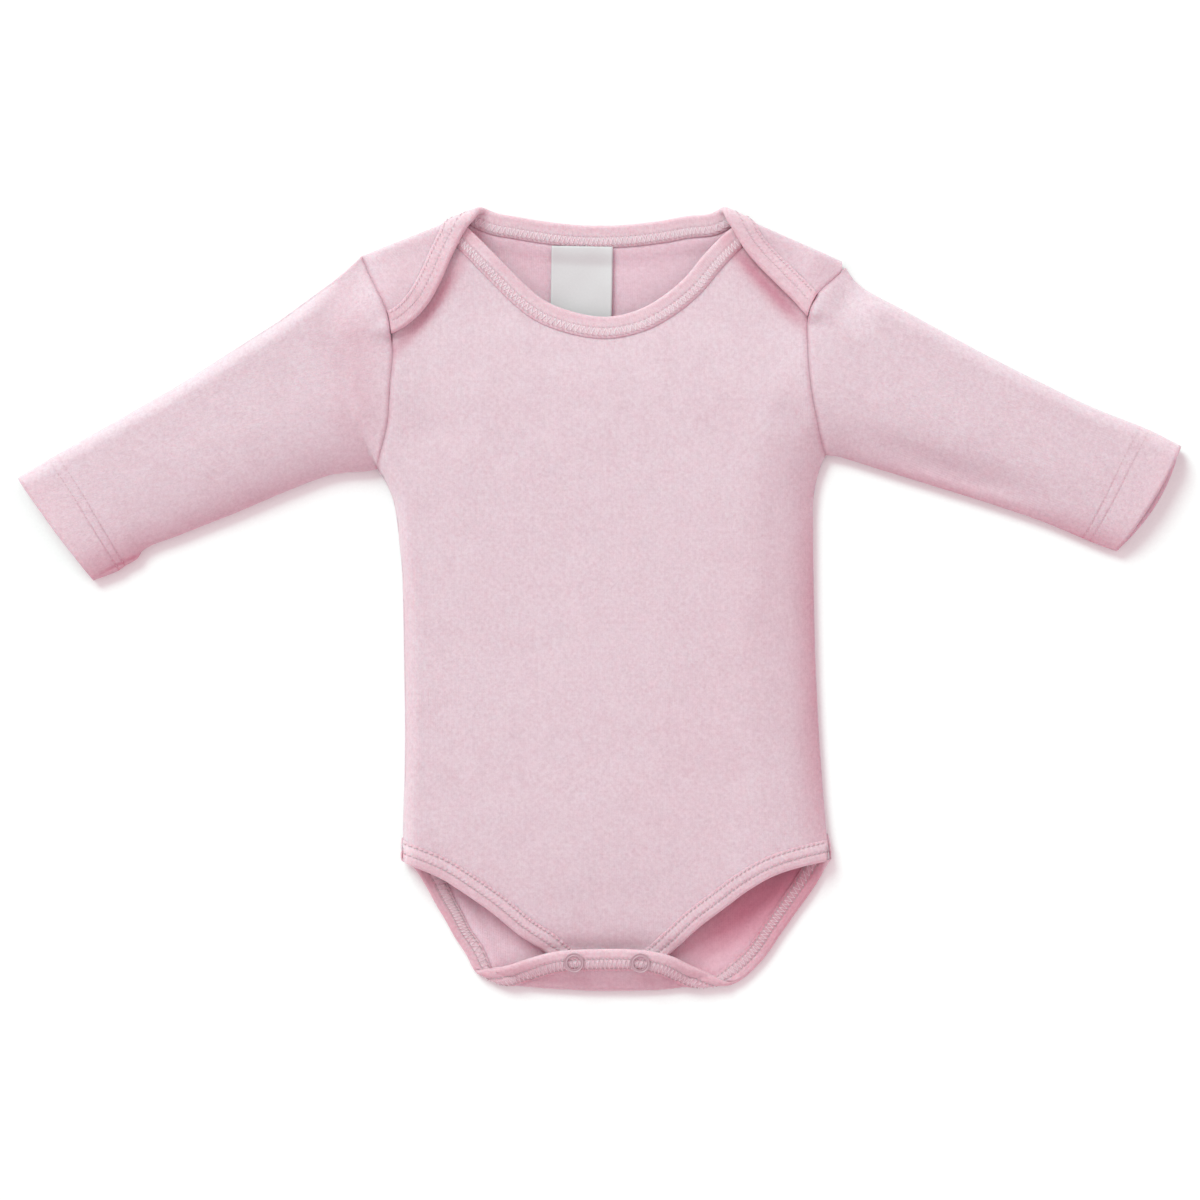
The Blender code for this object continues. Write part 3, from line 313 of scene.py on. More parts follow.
def smoothPoints(points, counts):
    # a smooth line through the points, with so many steps in each span
    p = np.array(points, float)
    ends = np.vstack([2 * p[0] - p[1], p, 2 * p[-1] - p[-2]])
    dense = []
    for k, count in enumerate(counts):
        a, b, c, d = ends[k : k + 4]
        knots = [0.0]
        for step in (b - a, c - b, d - c):
            knots.append(knots[-1] + math.sqrt(np.linalg.norm(step)))
        ta, tb, tc, td = knots
        t = np.linspace(tb, tc, count, endpoint=False)[:, None]
        abc = between(t, ta, tc, between(t, ta, tb, a, b), between(t, tb, tc, b, c))
        bcd = between(t, tb, td, between(t, tb, tc, b, c), between(t, tc, td, c, d))
        dense.append(between(t, tb, tc, abc, bcd))
    return np.vstack([*dense, p[-1:]])


def runLengths(points):
    # the way gone along the points, from the first one
    steps = np.linalg.norm(np.diff(points, axis=0), axis=1)
    return np.concatenate([[0.0], np.cumsum(steps)])


def nearestOn(line, p):
    # how far each point is from the line, its nearest step and the share of that step
    a, d = line[:-1], np.diff(line, axis=0)
    p = p[:, None]
    t = np.clip(((p - a) * d).sum(-1) / (d * d).sum(-1), 0, 1)
    gap = np.linalg.norm(p - a - t[..., None] * d, axis=-1)
    best = gap.argmin(axis=1)
    rows = np.arange(len(best))
    return gap[rows, best], best, t[rows, best]


class Line:
    def __init__(self, points):
        self.points = smoothPoints(points, [12] * (len(points) - 1))
        self.measure()

    def measure(self):
        self.lengths = runLengths(self.points)
        self.length = self.lengths[-1]

    def extend(self, other):
        self.points = np.vstack([self.points, other.points[1:]])
        self.measure()

    def at(self, length):
        x = np.interp(length, self.lengths, self.points[:, 0])
        y = np.interp(length, self.lengths, self.points[:, 1])
        return np.stack([x, y], axis=-1)

    def heading(self, length, reach=0.6):
        return unit(self.at(np.asarray(length) + reach) - self.at(np.asarray(length) - reach))

    def nearestLength(self, point):
        return self.lengths[np.argmin(np.linalg.norm(self.points - point, axis=1))]

    def distance(self, x, y):
        p = np.stack([np.ravel(x), np.ravel(y)], axis=1)
        away = np.empty(len(p))
        for k in range(0, len(p), 4000):  # in parts, which takes less memory
            away[k : k + 4000] = nearestOn(self.points, p[k : k + 4000])[0]
        return away.reshape(np.shape(x))


def softNoise(x, y, cell, seed):
    # smooth bumps about one cell wide, between -1 and 1
    random = np.random.default_rng(seed)
    lattice = random.uniform(-1, 1, (64, 64))
    u, v = np.asarray(x) / cell + 32, np.asarray(y) / cell + 32
    i, j = np.floor(u).astype(int), np.floor(v).astype(int)
    fu, fv = ease(u - i), ease(v - j)

    def corner(di, dj):
        return lattice[(i + di) % 64, (j + dj) % 64]

    low = corner(0, 0) * (1 - fu) + corner(1, 0) * fu
    high = corner(0, 1) * (1 - fu) + corner(1, 1) * fu
    return low * (1 - fv) + high * fv


def axesOf(origin, heading, way):
    # an origin, a direction and its square, which points up (1) or down (-1)
    along = unit(heading)
    across = np.array([-along[1], along[0]])
    return np.array(origin), along, across if across[1] * way > 0 else -across


def intoAxes(axes, x, y):
    origin, along, across = axes
    p = np.stack([np.asarray(x, float), np.asarray(y, float)], axis=-1) - origin
    return p @ along, p @ across


def fromAxes(axes, a, b):
    origin, along, across = axes
    return origin + np.asarray(a)[..., None] * along + np.asarray(b)[..., None] * across


armholeLine = {side: Line(points) for side, points in armholes.items()}
foldAxes = {
    side: axesOf(fold["outer"], np.subtract(fold["inner"], fold["outer"]), -1)
    for side, fold in shoulders.items()
}
armAxes = {side: axesOf(sleeve["origin"], sleeve["heading"], 1) for side, sleeve in sleeves.items()}


def splitFold(side, x, y):
    return intoAxes(foldAxes[side], x, y)


def joinFold(side, along, inward):
    p = fromAxes(foldAxes[side], along, inward)
    return p[..., 0], p[..., 1]


def armEdges(side, a):
    top = readTable(armTables[side], 1, a) - garment["rim"]
    return top, readTable(armTables[side], 2, a) + garment["rim"]


def bodyEdges(x, y):
    left = x - readTable(sideTable, 1, y) - garment["rim"]
    return left, readTable(sideTable, 2, y) - garment["rim"] - x


def seamHeight(x, y):
    height = garment["seam"] + np.zeros(np.shape(x))
    for cx, cy, rise, spread in riseTable:
        height = height + rise * np.exp(-((np.hypot(x - cx, y - cy) / spread) ** 2))
    return height


def seamSlot(x, y):
    slot = garment["seamSlot"] + np.zeros(np.shape(x))
    for side in backLeg:
        away = np.hypot(x - backLeg[side][0][0], y - backLeg[side][0][1])
        slot = slot + garment["legSlot"] * ease(2.0 - away / 12.0)
    return slot


def creases(x, y, table):
    count = 24  # steps along each stroke
    steps = np.linspace(0, 1, count + 1)[:, None]
    depth = np.zeros(np.shape(x))
    for start, bend, end, width, deep in table:
        line = (1 - steps) ** 2 * np.array(start) + 2 * steps * (1 - steps) * np.array(bend)
        line = line + steps**2 * np.array(end)
        reach = 3.2 * width
        lo, hi = line.min(0) - reach, line.max(0) + reach
        here = (x > lo[0]) & (x < hi[0]) & (y > lo[1]) & (y < hi[1])
        if not np.any(here):
            continue
        away, best, share = nearestOn(line, np.stack([x[here], y[here]], axis=-1))
        place = (best + share) / count
        taper = ease(place / 0.4) * ease((1 - place) / 0.4)
        depth[here] += deep * taper * np.exp(-((away / width) ** 2))
    return depth


def seamGroove(x, y):
    # 1 on an armhole seam, 0 a few millimetres away
    groove = np.zeros(np.shape(x))
    for side, line in armholeLine.items():
        outward = x if side == "right" else -x
        here = (outward > 98.0) & (outward < 130.0) & (y > 58.0) & (y < 180.0)
        if np.any(here):
            away = line.distance(x[here], y[here]) / garment["seamWidth"]
            groove[here] = np.maximum(groove[here], np.exp(-(away**2)))
    return groove


def archOf(distance, reach, power):
    # a long slope that turns under at its edge
    t = 1 - np.clip(np.asarray(distance) / reach, 0.0, 1.0)
    return 0.1 * np.sqrt(1 - t**6) + 0.9 * (1 - t**power)


def upperHeight(x, y):
    # front and sleeves share this surface
    x, y = np.asarray(x, float), np.asarray(y, float)
    left, right = bodyEdges(x, y)
    top = np.minimum(splitFold("left", x, y)[1], splitFold("right", x, y)[1])
    top = np.minimum(top, shoulders["left"]["inner"][1] - y)
    left, right = left - garment["edgeFlat"], right - garment["edgeFlat"]
    body = (readTable(crestTable, 1, y) - garment["seam"]) * bulge(left, garment["leftReach"])
    body = body * archOf(right, garment["rightReach"], garment["bodyArch"])
    body = body * ease(top / garment["shoulderReach"])
    total = np.maximum(body, 0.0) ** garment["blend"]
    for side, sleeve in sleeves.items():
        a, b = intoAxes(armAxes[side], x, y)
        topEdge, bottomEdge = armEdges(side, a)
        flatStart = ease((25.0 - a) / 30.0)
        rise = bulge(topEdge - b, sleeve["topReach"]) * (1 - flatStart)
        rise = rise + ease((topEdge - b) / garment["shoulderReach"]) * flatStart
        rise = rise * (readTable(armTables[side], 3, a) - garment["seam"] + 1.2)
        rise = rise * archOf(b - bottomEdge, sleeve["bottomReach"], garment["sleeveArch"])
        rise = rise * ease((a + 45.0) / 50.0)
        total = total + np.maximum(rise, 0.0) ** garment["blend"]
    loft = total ** (1 / garment["blend"])
    near = np.clip(loft / 4.0, 0.0, 1.0)
    soft = 0.30 * softNoise(x, y, 26.0, 3) + 0.10 * softNoise(x, y, 9.0, 4)
    soft = soft + creases(x, y, creaseTable)
    return seamHeight(x, y) + loft + soft * near - garment["seamDip"] * seamGroove(x, y) * near


def inside(x, y):
    left, right = bodyEdges(x, y)
    depth = np.minimum(left, right)
    for side in sleeves:
        a, b = intoAxes(armAxes[side], x, y)
        topEdge, bottomEdge = armEdges(side, a)
        arm = np.minimum(b - bottomEdge, topEdge - b)
        depth = np.maximum(depth, np.where(a > -40.0, arm, depth))
    return depth


def lowerHeight(x, y, floor):
    rise = 1 - bulge(inside(x, y), garment["lowerReach"])
    soft = 0.35 * np.maximum(softNoise(x, y, 22.0, 8), 0.0) + 0.35 * seamGroove(x, y)
    soft = soft * (1 - rise)
    return floor + soft + (seamHeight(x, y) - floor) * rise


def lapLift(side, x, y):
    near = ease(1 - armholeLine[side].distance(x, y) / 15.0)
    return garment["lapLift"] + (garment["lapLiftAtArmhole"] - garment["lapLift"]) * near


def crotchBow(x, y):
    return readTable(bowTable, 1, x) * (1 - ease((y - bow["from"]) / bow["fade"]))


def unbow(x, y):
    straight = np.array(y, float)
    for _ in range(8):
        straight = y - crotchBow(x, straight)
    return x, straight


def unfoldCrotch(x, y, flap):
    # a place near the crotch on the flat cut: on the flap, or on the cloth under it
    x, y = unbow(x, y)
    roll = garment["crotchRoll"]
    start = garment["crotchLine"] + roll
    angle = np.arcsin(np.clip((start - y) / roll, 0.0, 1.0))
    if not flap:
        return x, np.where(y >= start, y, start - roll * angle)
    straight = 2 * start - math.pi * roll - y
    return x, np.where(y >= start, straight, start - roll * (math.pi - angle))


def unfoldLap(side, x, y):
    along, inward = splitFold(side, x, y)
    return joinFold(side, along, (2 - math.pi) * garment["shoulderRoll"] - inward)


def backFloor(x, y):
    near = np.minimum(backNeckLine.distance(x, y), backLegLine.distance(x, y))
    return garment["floor"] + 1.5 * ease((garment["neckBand"] + 10.0 - near) / 8.5)


def foldBack(px, py):
    # the back's cut, laid on the floor and turned over at shoulders and crotch
    px, py = np.asarray(px, float), np.asarray(py, float)
    x, y = px.copy(), py.copy()
    z = np.zeros(px.shape)
    plain = np.ones(px.shape, bool)
    roll = garment["shoulderRoll"]
    for side in shoulders:
        along, inward = splitFold(side, px, py)
        beyond = roll - inward
        over = (beyond > 0) & (py > 100.0)
        if not np.any(over):
            continue
        along, beyond = along[over], beyond[over]
        turn = np.clip(beyond / roll, 0.0, math.pi)
        run = np.maximum(beyond - math.pi * roll, 0.0)
        x[over], y[over] = joinFold(side, along, roll * (1 - np.sin(turn)) + run)
        low = backFloor(*joinFold(side, along, np.full(along.shape, roll)))
        rest = joinFold(side, along, roll + run)
        high = upperHeight(*rest) + lapLift(side, *rest)
        z[over] = low + (high - low) * (1 - np.cos(turn)) / 2
        plain &= ~over
    roll = garment["crotchRoll"]
    start = garment["crotchLine"] + roll
    beyond = start - py
    over = beyond > 0
    turn = np.clip(beyond / roll, 0.0, math.pi)
    run = np.maximum(beyond - math.pi * roll, 0.0)
    low = np.zeros(px.shape)
    low[over] = backFloor(px[over], np.full(px[over].shape, start))
    y = np.where(over, start - roll * np.sin(turn) + run, y)
    lean = np.maximum(garment["flapTop"] - np.maximum(y, start), 0.0) ** 2
    high = garment["flapHeight"] - garment["flapLean"] * lean
    z = np.where(over, low + (high - low) * (1 - np.cos(turn)) / 2, z)
    plain &= ~over
    y = y + np.where(py < 0, crotchBow(x, y), 0.0)
    level = lowerHeight(x[plain], y[plain], backFloor(px[plain], py[plain]))
    drop = 1 - bulge(inside(x[plain], y[plain]), garment["lowerReach"])
    drop = seamSlot(x[plain], y[plain]) * drop
    z[plain] = level - drop
    return np.stack([x, y, z], axis=-1)


def layFront(px, py):
    px, py = np.asarray(px, float), np.asarray(py, float)
    return np.stack([px, py, upperHeight(px, py)], axis=-1)


def placed(surface, flat):
    # points of a cut (x, y, offset), moved out along the folded cloth's normals
    x, y, offset = flat.T
    d = 0.05
    left, right = bodyEdges(x, y)
    near = np.maximum(1.2 * d - left, 0.0) - np.maximum(1.2 * d - right, 0.0)
    nx = x + np.where(y < garment["sidesBelow"], near, 0.0)
    across = surface(nx + d, y) - surface(nx - d, y)
    upward = surface(nx, y + d) - surface(nx, y - d)
    normal = unit(np.cross(across, upward))
    return surface(x, y) + offset[:, None] * normal, normal, unit(across), unit(upward)


class Edge:
    # a panel's top or bottom edge, with its columns and the way that they leave it
    def __init__(self, line, lengths, firstSide, lastSide, sign, bound=None):
        self.line, self.lengths = line, lengths
        self.points = line.at(lengths)
        before = line.heading(np.maximum(lengths - 0.7, 0.4), 0.35)
        after = line.heading(np.minimum(lengths + 0.7, line.length - 0.4), 0.35)
        square = np.array([[0.0, 1.0], [-1.0, 0.0]]) * sign
        before, after = before @ square, after @ square
        way = unit(before + after)
        for side, away in ((firstSide, lengths), (lastSide, line.length - lengths)):
            mix = ease(away / 32.0)[:, None]
            way = unit(mix * way + (1 - mix) * side)
        corners = []
        if bound:
            corners = [(bound[0], before, after), (bound[1], after, before)]
        for k, bare, taped in corners:
            aim = unit(0.3 * bare[k] + 0.7 * taped[k])
            mix = ease(np.abs(lengths - lengths[k]) / 32.0)[:, None]
            way = unit(mix * way + (1 - mix) * aim)
        lean = np.minimum((way * before).sum(1), (way * after).sum(1))
        for k, bare, taped in corners:
            lean[k] = way[k] @ taped[k]
        fromEnd = np.minimum(lengths, line.length - lengths)
        least = 0.42 + 0.36 * (1 - ease(fromEnd / 12.0))
        self.way = way / np.maximum(lean, least)[:, None]

    def row(self, distance):
        return self.points + self.way * distance

    def point(self, length, distance):
        # any place along the edge, so far in from it
        wayX = np.interp(length, self.lengths, self.way[:, 0])
        wayY = np.interp(length, self.lengths, self.way[:, 1])
        way = np.stack([wayX, wayY], axis=-1)
        return self.line.at(length) + way * np.asarray(distance)[..., None]


def finer(stops, lengthOfOne, spacing):
    # column places between the stops, about so far apart
    places = []
    for a, b in zip(stops, stops[1:]):
        count = max(2, round((b - a) * lengthOfOne / spacing))
        places.append(np.linspace(a, b, count, endpoint=False))
    return np.concatenate([*places, [stops[-1]]])


def sideRows(stations, first, last, counts):
    dense = smoothPoints([first, *stations[1:-1], last], counts)
    steps = np.linalg.norm(np.diff(dense, axis=0), axis=1)
    return dense, runLengths(dense) / steps.sum()


def cutPanel(bottom, top, left, right, columns, bands, spacing):
    setback = garment["setback"]
    lowSteps = np.linspace(setback, bands[0], 6)
    highSteps = np.linspace(setback, bands[1], 6)
    low = np.array([bottom.row(d) for d in lowSteps])
    high = np.array([top.row(d) for d in highSteps])
    stations = np.array([low[-1][0], *left[1:-1], high[-1][0]])
    gaps = np.linalg.norm(np.diff(stations, axis=0), axis=1)
    counts = [max(2, round(gap / spacing)) for gap in gaps]
    leftRows, leftT = sideRows(left, low[-1][0], high[-1][0], counts)
    rightRows, rightT = sideRows(right, low[-1][-1], high[-1][-1], counts)
    u, v = columns[None, :, None], ((leftT + rightT) / 2)[:, None, None]
    a, b = low[-1], high[-1]
    middle = (1 - v) * a[None] + v * b[None]
    middle = middle + (1 - u) * leftRows[:, None] + u * rightRows[:, None]
    middle = middle - (1 - u) * (1 - v) * a[0] - u * (1 - v) * a[-1]
    middle = middle - (1 - u) * v * b[0] - u * v * b[-1]
    return np.concatenate([low[:-1], middle, high[:-1][::-1]])


def gridFaces(high, wide, closed=False):
    faces = []
    for r in range(high - 1):
        for c in range(wide if closed else wide - 1):
            d = (c + 1) % wide
            faces.append((r * wide + c, r * wide + d, (r + 1) * wide + d, (r + 1) * wide + c))
    return faces


def intoScene(name, data):
    obj = bpy.data.objects.new(name, data)
    bpy.context.scene.collection.objects.link(obj)
    return obj


def clothMesh(name, places, flat, closed=False):
    # a sheet of cloth, with its cut's coordinates as its UV map
    high, wide = places.shape[:2]
    mesh = bpy.data.meshes.new(name)
    points = (places.reshape(-1, 3) - garment["middle"]) * mm
    mesh.from_pydata(points.tolist(), [], gridFaces(high, wide, closed))
    uv = mesh.uv_layers.new(name="cut")
    corners = np.empty(len(mesh.loops), np.int32)
    mesh.loops.foreach_get("vertex_index", corners)
    cut = flat.reshape(-1, 2)[corners] * mm
    uv.data.foreach_set("uv", cut.astype(np.float32).ravel())
    mesh.shade_smooth()
    return intoScene(name, mesh)


def giveWall(obj, thickness, inner=None, innerAbove=False):
    # the sheet's own faces keep their side, and their copies make the other one
    count = len(obj.data.polygons)
    wall = obj.modifiers.new("wall", "SOLIDIFY")
    wall.thickness = thickness * mm
    wall.offset = 0.0
    wall.use_even_offset = False
    makePlain(obj)
    if inner:
        index = np.zeros(len(obj.data.polygons), np.int32)
        index[:count] = int(innerAbove)
        index[count : 2 * count] = int(not innerAbove)
        obj.data.polygons.foreach_set("material_index", index)
    return obj


def makePlain(obj):
    # the evaluated shape becomes the mesh, and its modifiers go
    bpy.context.view_layer.update()
    graph = bpy.context.evaluated_depsgraph_get()
    mesh = bpy.data.meshes.new_from_object(obj.evaluated_get(graph))
    mesh.name = obj.name
    old = obj.data
    obj.modifiers.clear()
    obj.data = mesh
    bpy.data.meshes.remove(old)
    return obj


def paintShade(obj, node, extra=0.0):
    # painted shade: how deep in shade each point lies; the wall's two faces share what the cut adds
    count = len(obj.data.vertices)
    places = np.empty(3 * count, np.float32)
    obj.data.vertices.foreach_get("co", places)
    places = places.reshape(-1, 3) / mm + garment["middle"]
    x, y = places[:, 0], places[:, 1]
    depth = creases(x, y, paintedShadeTable.get(node, []))
    if "back" in node:
        fade = ease((np.minimum(*bodyEdges(x, y)) - 1.0) / 3.0)  # towards the side seams
        depth = depth * np.where(y < garment["sidesBelow"], fade, 1.0)
    # painted shade along the armhole seams' grooves
    depth = depth + 0.8 * seamGroove(x, y) ** 2
    depth = depth + (np.tile(np.ravel(extra), 2) if np.size(extra) > 1 else extra)
    layer = obj.data.attributes.new("paintedShade", "FLOAT", "POINT")
    layer.data.foreach_set("value", np.clip(depth, 0.0, 1.8).astype(np.float32))


def dress(obj, node, slot, *materials):
    index = np.zeros(len(obj.data.polygons), np.int32)
    obj.data.polygons.foreach_get("material_index", index)
    obj.data.materials.clear()
    for material in materials:
        obj.data.materials.append(material)
    obj.data.polygons.foreach_set("material_index", np.minimum(index, len(materials) - 1))
    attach(obj, "root")
    if node:
        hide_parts(*([node] if isinstance(node, str) else node))
    return obj


# finishes

jersey = {
    "colour": (0.757, 0.598, 0.653),
    "deep": (0.639, 0.443, 0.507),
    # the colour that painted shade multiplies into the yarn
    "paintedShade": (0.86, 0.63, 0.68),
    "wale": 1.15,  # mm between ribs of the knit
    "course": 1.5,
    "bump": 0.16,
    "sheen": 0.24,
    "glow": 0.5,  # light that the fibres pass on
    "rows": None,  # the binding's needle rows, from its fold
}


def feed(tree, socket, value):
    # a socket takes a number or another node's output
    if isinstance(value, bpy.types.NodeSocket):
        tree.links.new(value, socket)
    else:
        socket.default_value = value


def calc(tree, operation, *values):
    node = tree.nodes.new("ShaderNodeMath")
    node.operation = operation
    for socket, value in zip(node.inputs, values):
        feed(tree, socket, value)
    return node.outputs["Value"]


def blend(tree, factor, first, second, way="MIX"):
    mix = tree.nodes.new("ShaderNodeMix")
    mix.data_type = "RGBA"
    mix.blend_type = way
    mix.clamp_factor = way == "MIX"
    feed(tree, mix.inputs["Factor"], factor)
    feed(tree, mix.inputs["A"], first)
    feed(tree, mix.inputs["B"], second)
    return mix.outputs["Result"]


def cutPlace(tree):
    # places on the flat cut, so that the knit follows the cloth
    uv = tree.nodes.new("ShaderNodeUVMap")
    uv.uv_map = "cut"
    return uv.outputs["UV"]


def ribs(tree, direction, spacing, distortion, detailScale=1.0):
    wave = tree.nodes.new("ShaderNodeTexWave")
    wave.wave_type = "BANDS"
    wave.bands_direction = direction
    wave.inputs["Scale"].default_value = 2 * math.pi / (20 * spacing * mm)
    wave.inputs["Distortion"].default_value = distortion
    wave.inputs["Detail"].default_value = 1.0
    wave.inputs["Detail Scale"].default_value = detailScale
    tree.links.new(cutPlace(tree), wave.inputs["Vector"])
    return wave.outputs["Fac"]


def grain(tree, scale, detail, roughness):
    place = tree.nodes.new("ShaderNodeTexCoord")
    noise = tree.nodes.new("ShaderNodeTexNoise")
    noise.inputs["Scale"].default_value = scale
    noise.inputs["Detail"].default_value = detail
    noise.inputs["Roughness"].default_value = roughness
    tree.links.new(place.outputs["Object"], noise.inputs["Vector"])
    return noise.outputs["Fac"]


def addRelief(tree, height, strength, distance):
    bump = tree.nodes.new("ShaderNodeBump")
    bump.inputs["Strength"].default_value = strength
    bump.inputs["Distance"].default_value = distance * mm
    tree.links.new(height, bump.inputs["Height"])
    tree.links.new(bump.outputs["Normal"], tree.nodes["Principled BSDF"].inputs["Normal"])


def addPuckers(tree, height, values):
    # the cloth is drawn in between the needle rows, once a stitch
    parts = tree.nodes.new("ShaderNodeSeparateXYZ")
    tree.links.new(cutPlace(tree), parts.inputs["Vector"])
    perMetre = 2 * math.pi / (sewing["pitch"] * mm)
    for shift, row in enumerate(values["rows"]):
        phase = calc(tree, "MULTIPLY_ADD", parts.outputs["X"], perMetre, 1.6 * shift)
        away = calc(tree, "ABSOLUTE", calc(tree, "SUBTRACT", parts.outputs["Y"], row * mm))
        near = tree.nodes.new("ShaderNodeMapRange")
        near.interpolation_type = "SMOOTHSTEP"
        near.inputs["From Min"].default_value = 0.3 * mm
        near.inputs["From Max"].default_value = 1.9 * mm
        near.inputs["To Min"].default_value = values["pucker"]
        near.inputs["To Max"].default_value = 0.0
        tree.links.new(away, near.inputs["Value"])
        wave = calc(tree, "SINE", phase)
        height = calc(tree, "MULTIPLY_ADD", wave, near.outputs["Result"], height)
    return height


def knitMaterial(name, values):
    material = bpy.data.materials.new(name)
    material.use_nodes = True
    tree = material.node_tree
    shader = tree.nodes["Principled BSDF"]
    shader.inputs["Roughness"].default_value = 0.92
    shader.inputs["Specular IOR Level"].default_value = 0.15
    shader.inputs["Sheen Weight"].default_value = values["sheen"]
    shader.inputs["Sheen Roughness"].default_value = 0.55
    shader.inputs["Sheen Tint"].default_value = (1.0, 0.9, 0.93, 1.0)
    shader.inputs["Subsurface Weight"].default_value = values["glow"]
    shader.inputs["Subsurface Radius"].default_value = (1.0, 0.4, 0.5)
    shader.inputs["Subsurface Scale"].default_value = 0.002
    wale = ribs(tree, "X", values["wale"], 1.2, 0.7)
    course = ribs(tree, "Y", values["course"], 1.6)
    fuzz = grain(tree, 560.0, 3.0, 0.8)
    cloud = grain(tree, 70.0, 6.0, 0.85)
    knit = calc(tree, "MULTIPLY_ADD", course, 0.45, wale)
    relief = calc(tree, "MULTIPLY_ADD", fuzz, 1.9, calc(tree, "MULTIPLY", knit, 0.4))
    if values["rows"]:
        relief = addPuckers(tree, relief, values)
    addRelief(tree, relief, 0.55, values["bump"])
    speckle = calc(tree, "MULTIPLY_ADD", fuzz, 1.9, -0.8)
    shade = calc(tree, "MULTIPLY_ADD", cloud, 0.85, speckle)
    tone = calc(tree, "MULTIPLY_ADD", knit, 0.07, shade)
    yarn = blend(tree, tone, (*values["deep"], 1.0), (*values["colour"], 1.0))
    # painted shade: the surface's attribute multiplies a darker pink into the yarn where shade
    # falls
    paintedShade = tree.nodes.new("ShaderNodeAttribute")
    paintedShade.attribute_name = "paintedShade"
    deeper = blend(tree, paintedShade.outputs["Fac"], yarn, (*values["paintedShade"], 1.0), "MULTIPLY")
    tree.links.new(deeper, shader.inputs["Base Color"])
    return material


def plainMaterial(name, colour, roughness, bumpSize=0.0):
    material = bpy.data.materials.new(name)
    material.use_nodes = True
    tree = material.node_tree
    shader = tree.nodes["Principled BSDF"]
    shader.inputs["Base Color"].default_value = (*colour, 1.0)
    shader.inputs["Roughness"].default_value = roughness
    fibre = grain(tree, 900.0, 4.0, 0.5)
    addRelief(tree, fibre, 0.5, bumpSize)
    darker = (*[c * 0.93 for c in colour], 1.0)
    tree.links.new(blend(tree, fibre, darker, (*colour, 1.0)), shader.inputs["Base Color"])
    return material


sewing = {
    "pitch": 2.3,
    "dash": 1.5,
    "slant": 0.22,
    "thickness": 0.42,
    "loop": 0.36,  # thickness of the thread between the needle rows
    "hem": 0.38,
    "rise": 0.28,
    "trim": 1.5,  # left bare at each end of a binding
    "proud": 0.1,  # above the binding's face
    "clear": 0.03,  # above the floor
}
neckWidth, legWidth = garment["neckBand"], garment["legBand"]
insideValues = dict(jersey, colour=(0.81, 0.575, 0.65), deep=(0.70, 0.45, 0.52), sheen=0.12)
binding = dict(jersey, colour=(0.80, 0.60, 0.655), deep=(0.68, 0.45, 0.51), wale=1.0)
jerseyCloth = knitMaterial("pinkInterlock", jersey)
jerseyInside = knitMaterial("pinkInterlockInside", insideValues)
bothSides = [jerseyCloth, jerseyInside]
bandCloth = {
    neckWidth: knitMaterial("pinkNeckBinding", dict(binding, rows=(6.4, 10.4), pucker=0.8)),
    legWidth: knitMaterial("pinkLegBinding", dict(binding, rows=(5.4, 9.9), pucker=1.4)),
}
threadPink = plainMaterial("pinkThread", (0.68, 0.46, 0.52), 0.7, bumpSize=0.02)
threadDeep = plainMaterial("deepThread", (0.50, 0.37, 0.40), 0.7, bumpSize=0.02)
threadPale = plainMaterial("paleThread", (0.92, 0.76, 0.81), 0.7, bumpSize=0.02)
threadSoft = plainMaterial("softThread", (0.82, 0.61, 0.67), 0.7, bumpSize=0.02)
snapEnamel = plainMaterial("pinkEnamel", (0.52, 0.33, 0.38), 0.42, bumpSize=0.01)
labelTape = plainMaterial("whiteTape", (0.67, 0.64, 0.655), 0.8, bumpSize=0.05)
print("finishes are ready")

# cutting lines shared by the panels and their bindings

panels = {
    "spacing": 2.0,
    "seamStations": (-113.0, -93.0, -67.0, -39.0, -11.0, 14.0, 34.0),
    "frontArmhole": (0.0, 0.10, 0.19, 0.30, 0.42, 0.54, 0.66, 0.77),
    "backArmhole": (0.0, 0.07, 0.30, 0.55, 0.80, 0.93),
    "lapArmhole": {
        "left": (0.94, 0.89, 0.83, 0.77, 0.70),
        "right": (0.97, 0.94, 0.90, 0.85, 0.80),
    },
    "frontStops": (0.0, 0.004, 0.015, 0.034, 0.06, 0.18, 0.80, 0.85, 0.90, 0.945, 0.98, 0.996, 1.0),
    "neckStops": (0.18, 0.80),
    "backStops": (0.0, 0.003, 0.010, 0.024, 0.22, 0.28, 0.72, 0.78, 0.976, 0.990, 0.997, 1.0),
}


def sideSeam(side):
    sign = 1 if side == "left" else -1
    top = armholes[side][0][1]
    column = 1 if side == "left" else 2
    heights = np.array([*panels["seamStations"], top - 16.0, top - 7.0])
    return [(readTable(sideTable, column, y) + sign * garment["rim"], y) for y in heights]


def armholeStations(side, shares):
    line = armholeLine[side]
    return [tuple(p) for p in line.at(np.array(shares) * line.length)]


def legCorner(side, end):
    return (end[0] + (1 if side == "left" else -1) * garment["rim"], end[1])


def cornerWays(left, right, atTop):
    step = -1 if atTop else 1
    ends = [np.array(side[::step][:2], float) for side in (left, right)]
    return [unit(end[1] - end[0]) for end in ends]


def frontSides():
    sides = []
    for side, end in (("left", frontLeg[0]), ("right", frontLeg[-1])):
        seam = armholeStations(side, panels["frontArmhole"])
        above = armholeLine[side].at(0.94 * armholeLine[side].length)
        top = joinFold(side, splitFold(side, *above)[0], garment["shoulderRoll"] + 1.6)
        sides.append([legCorner(side, end), *sideSeam(side), *seam, top])
    return sides


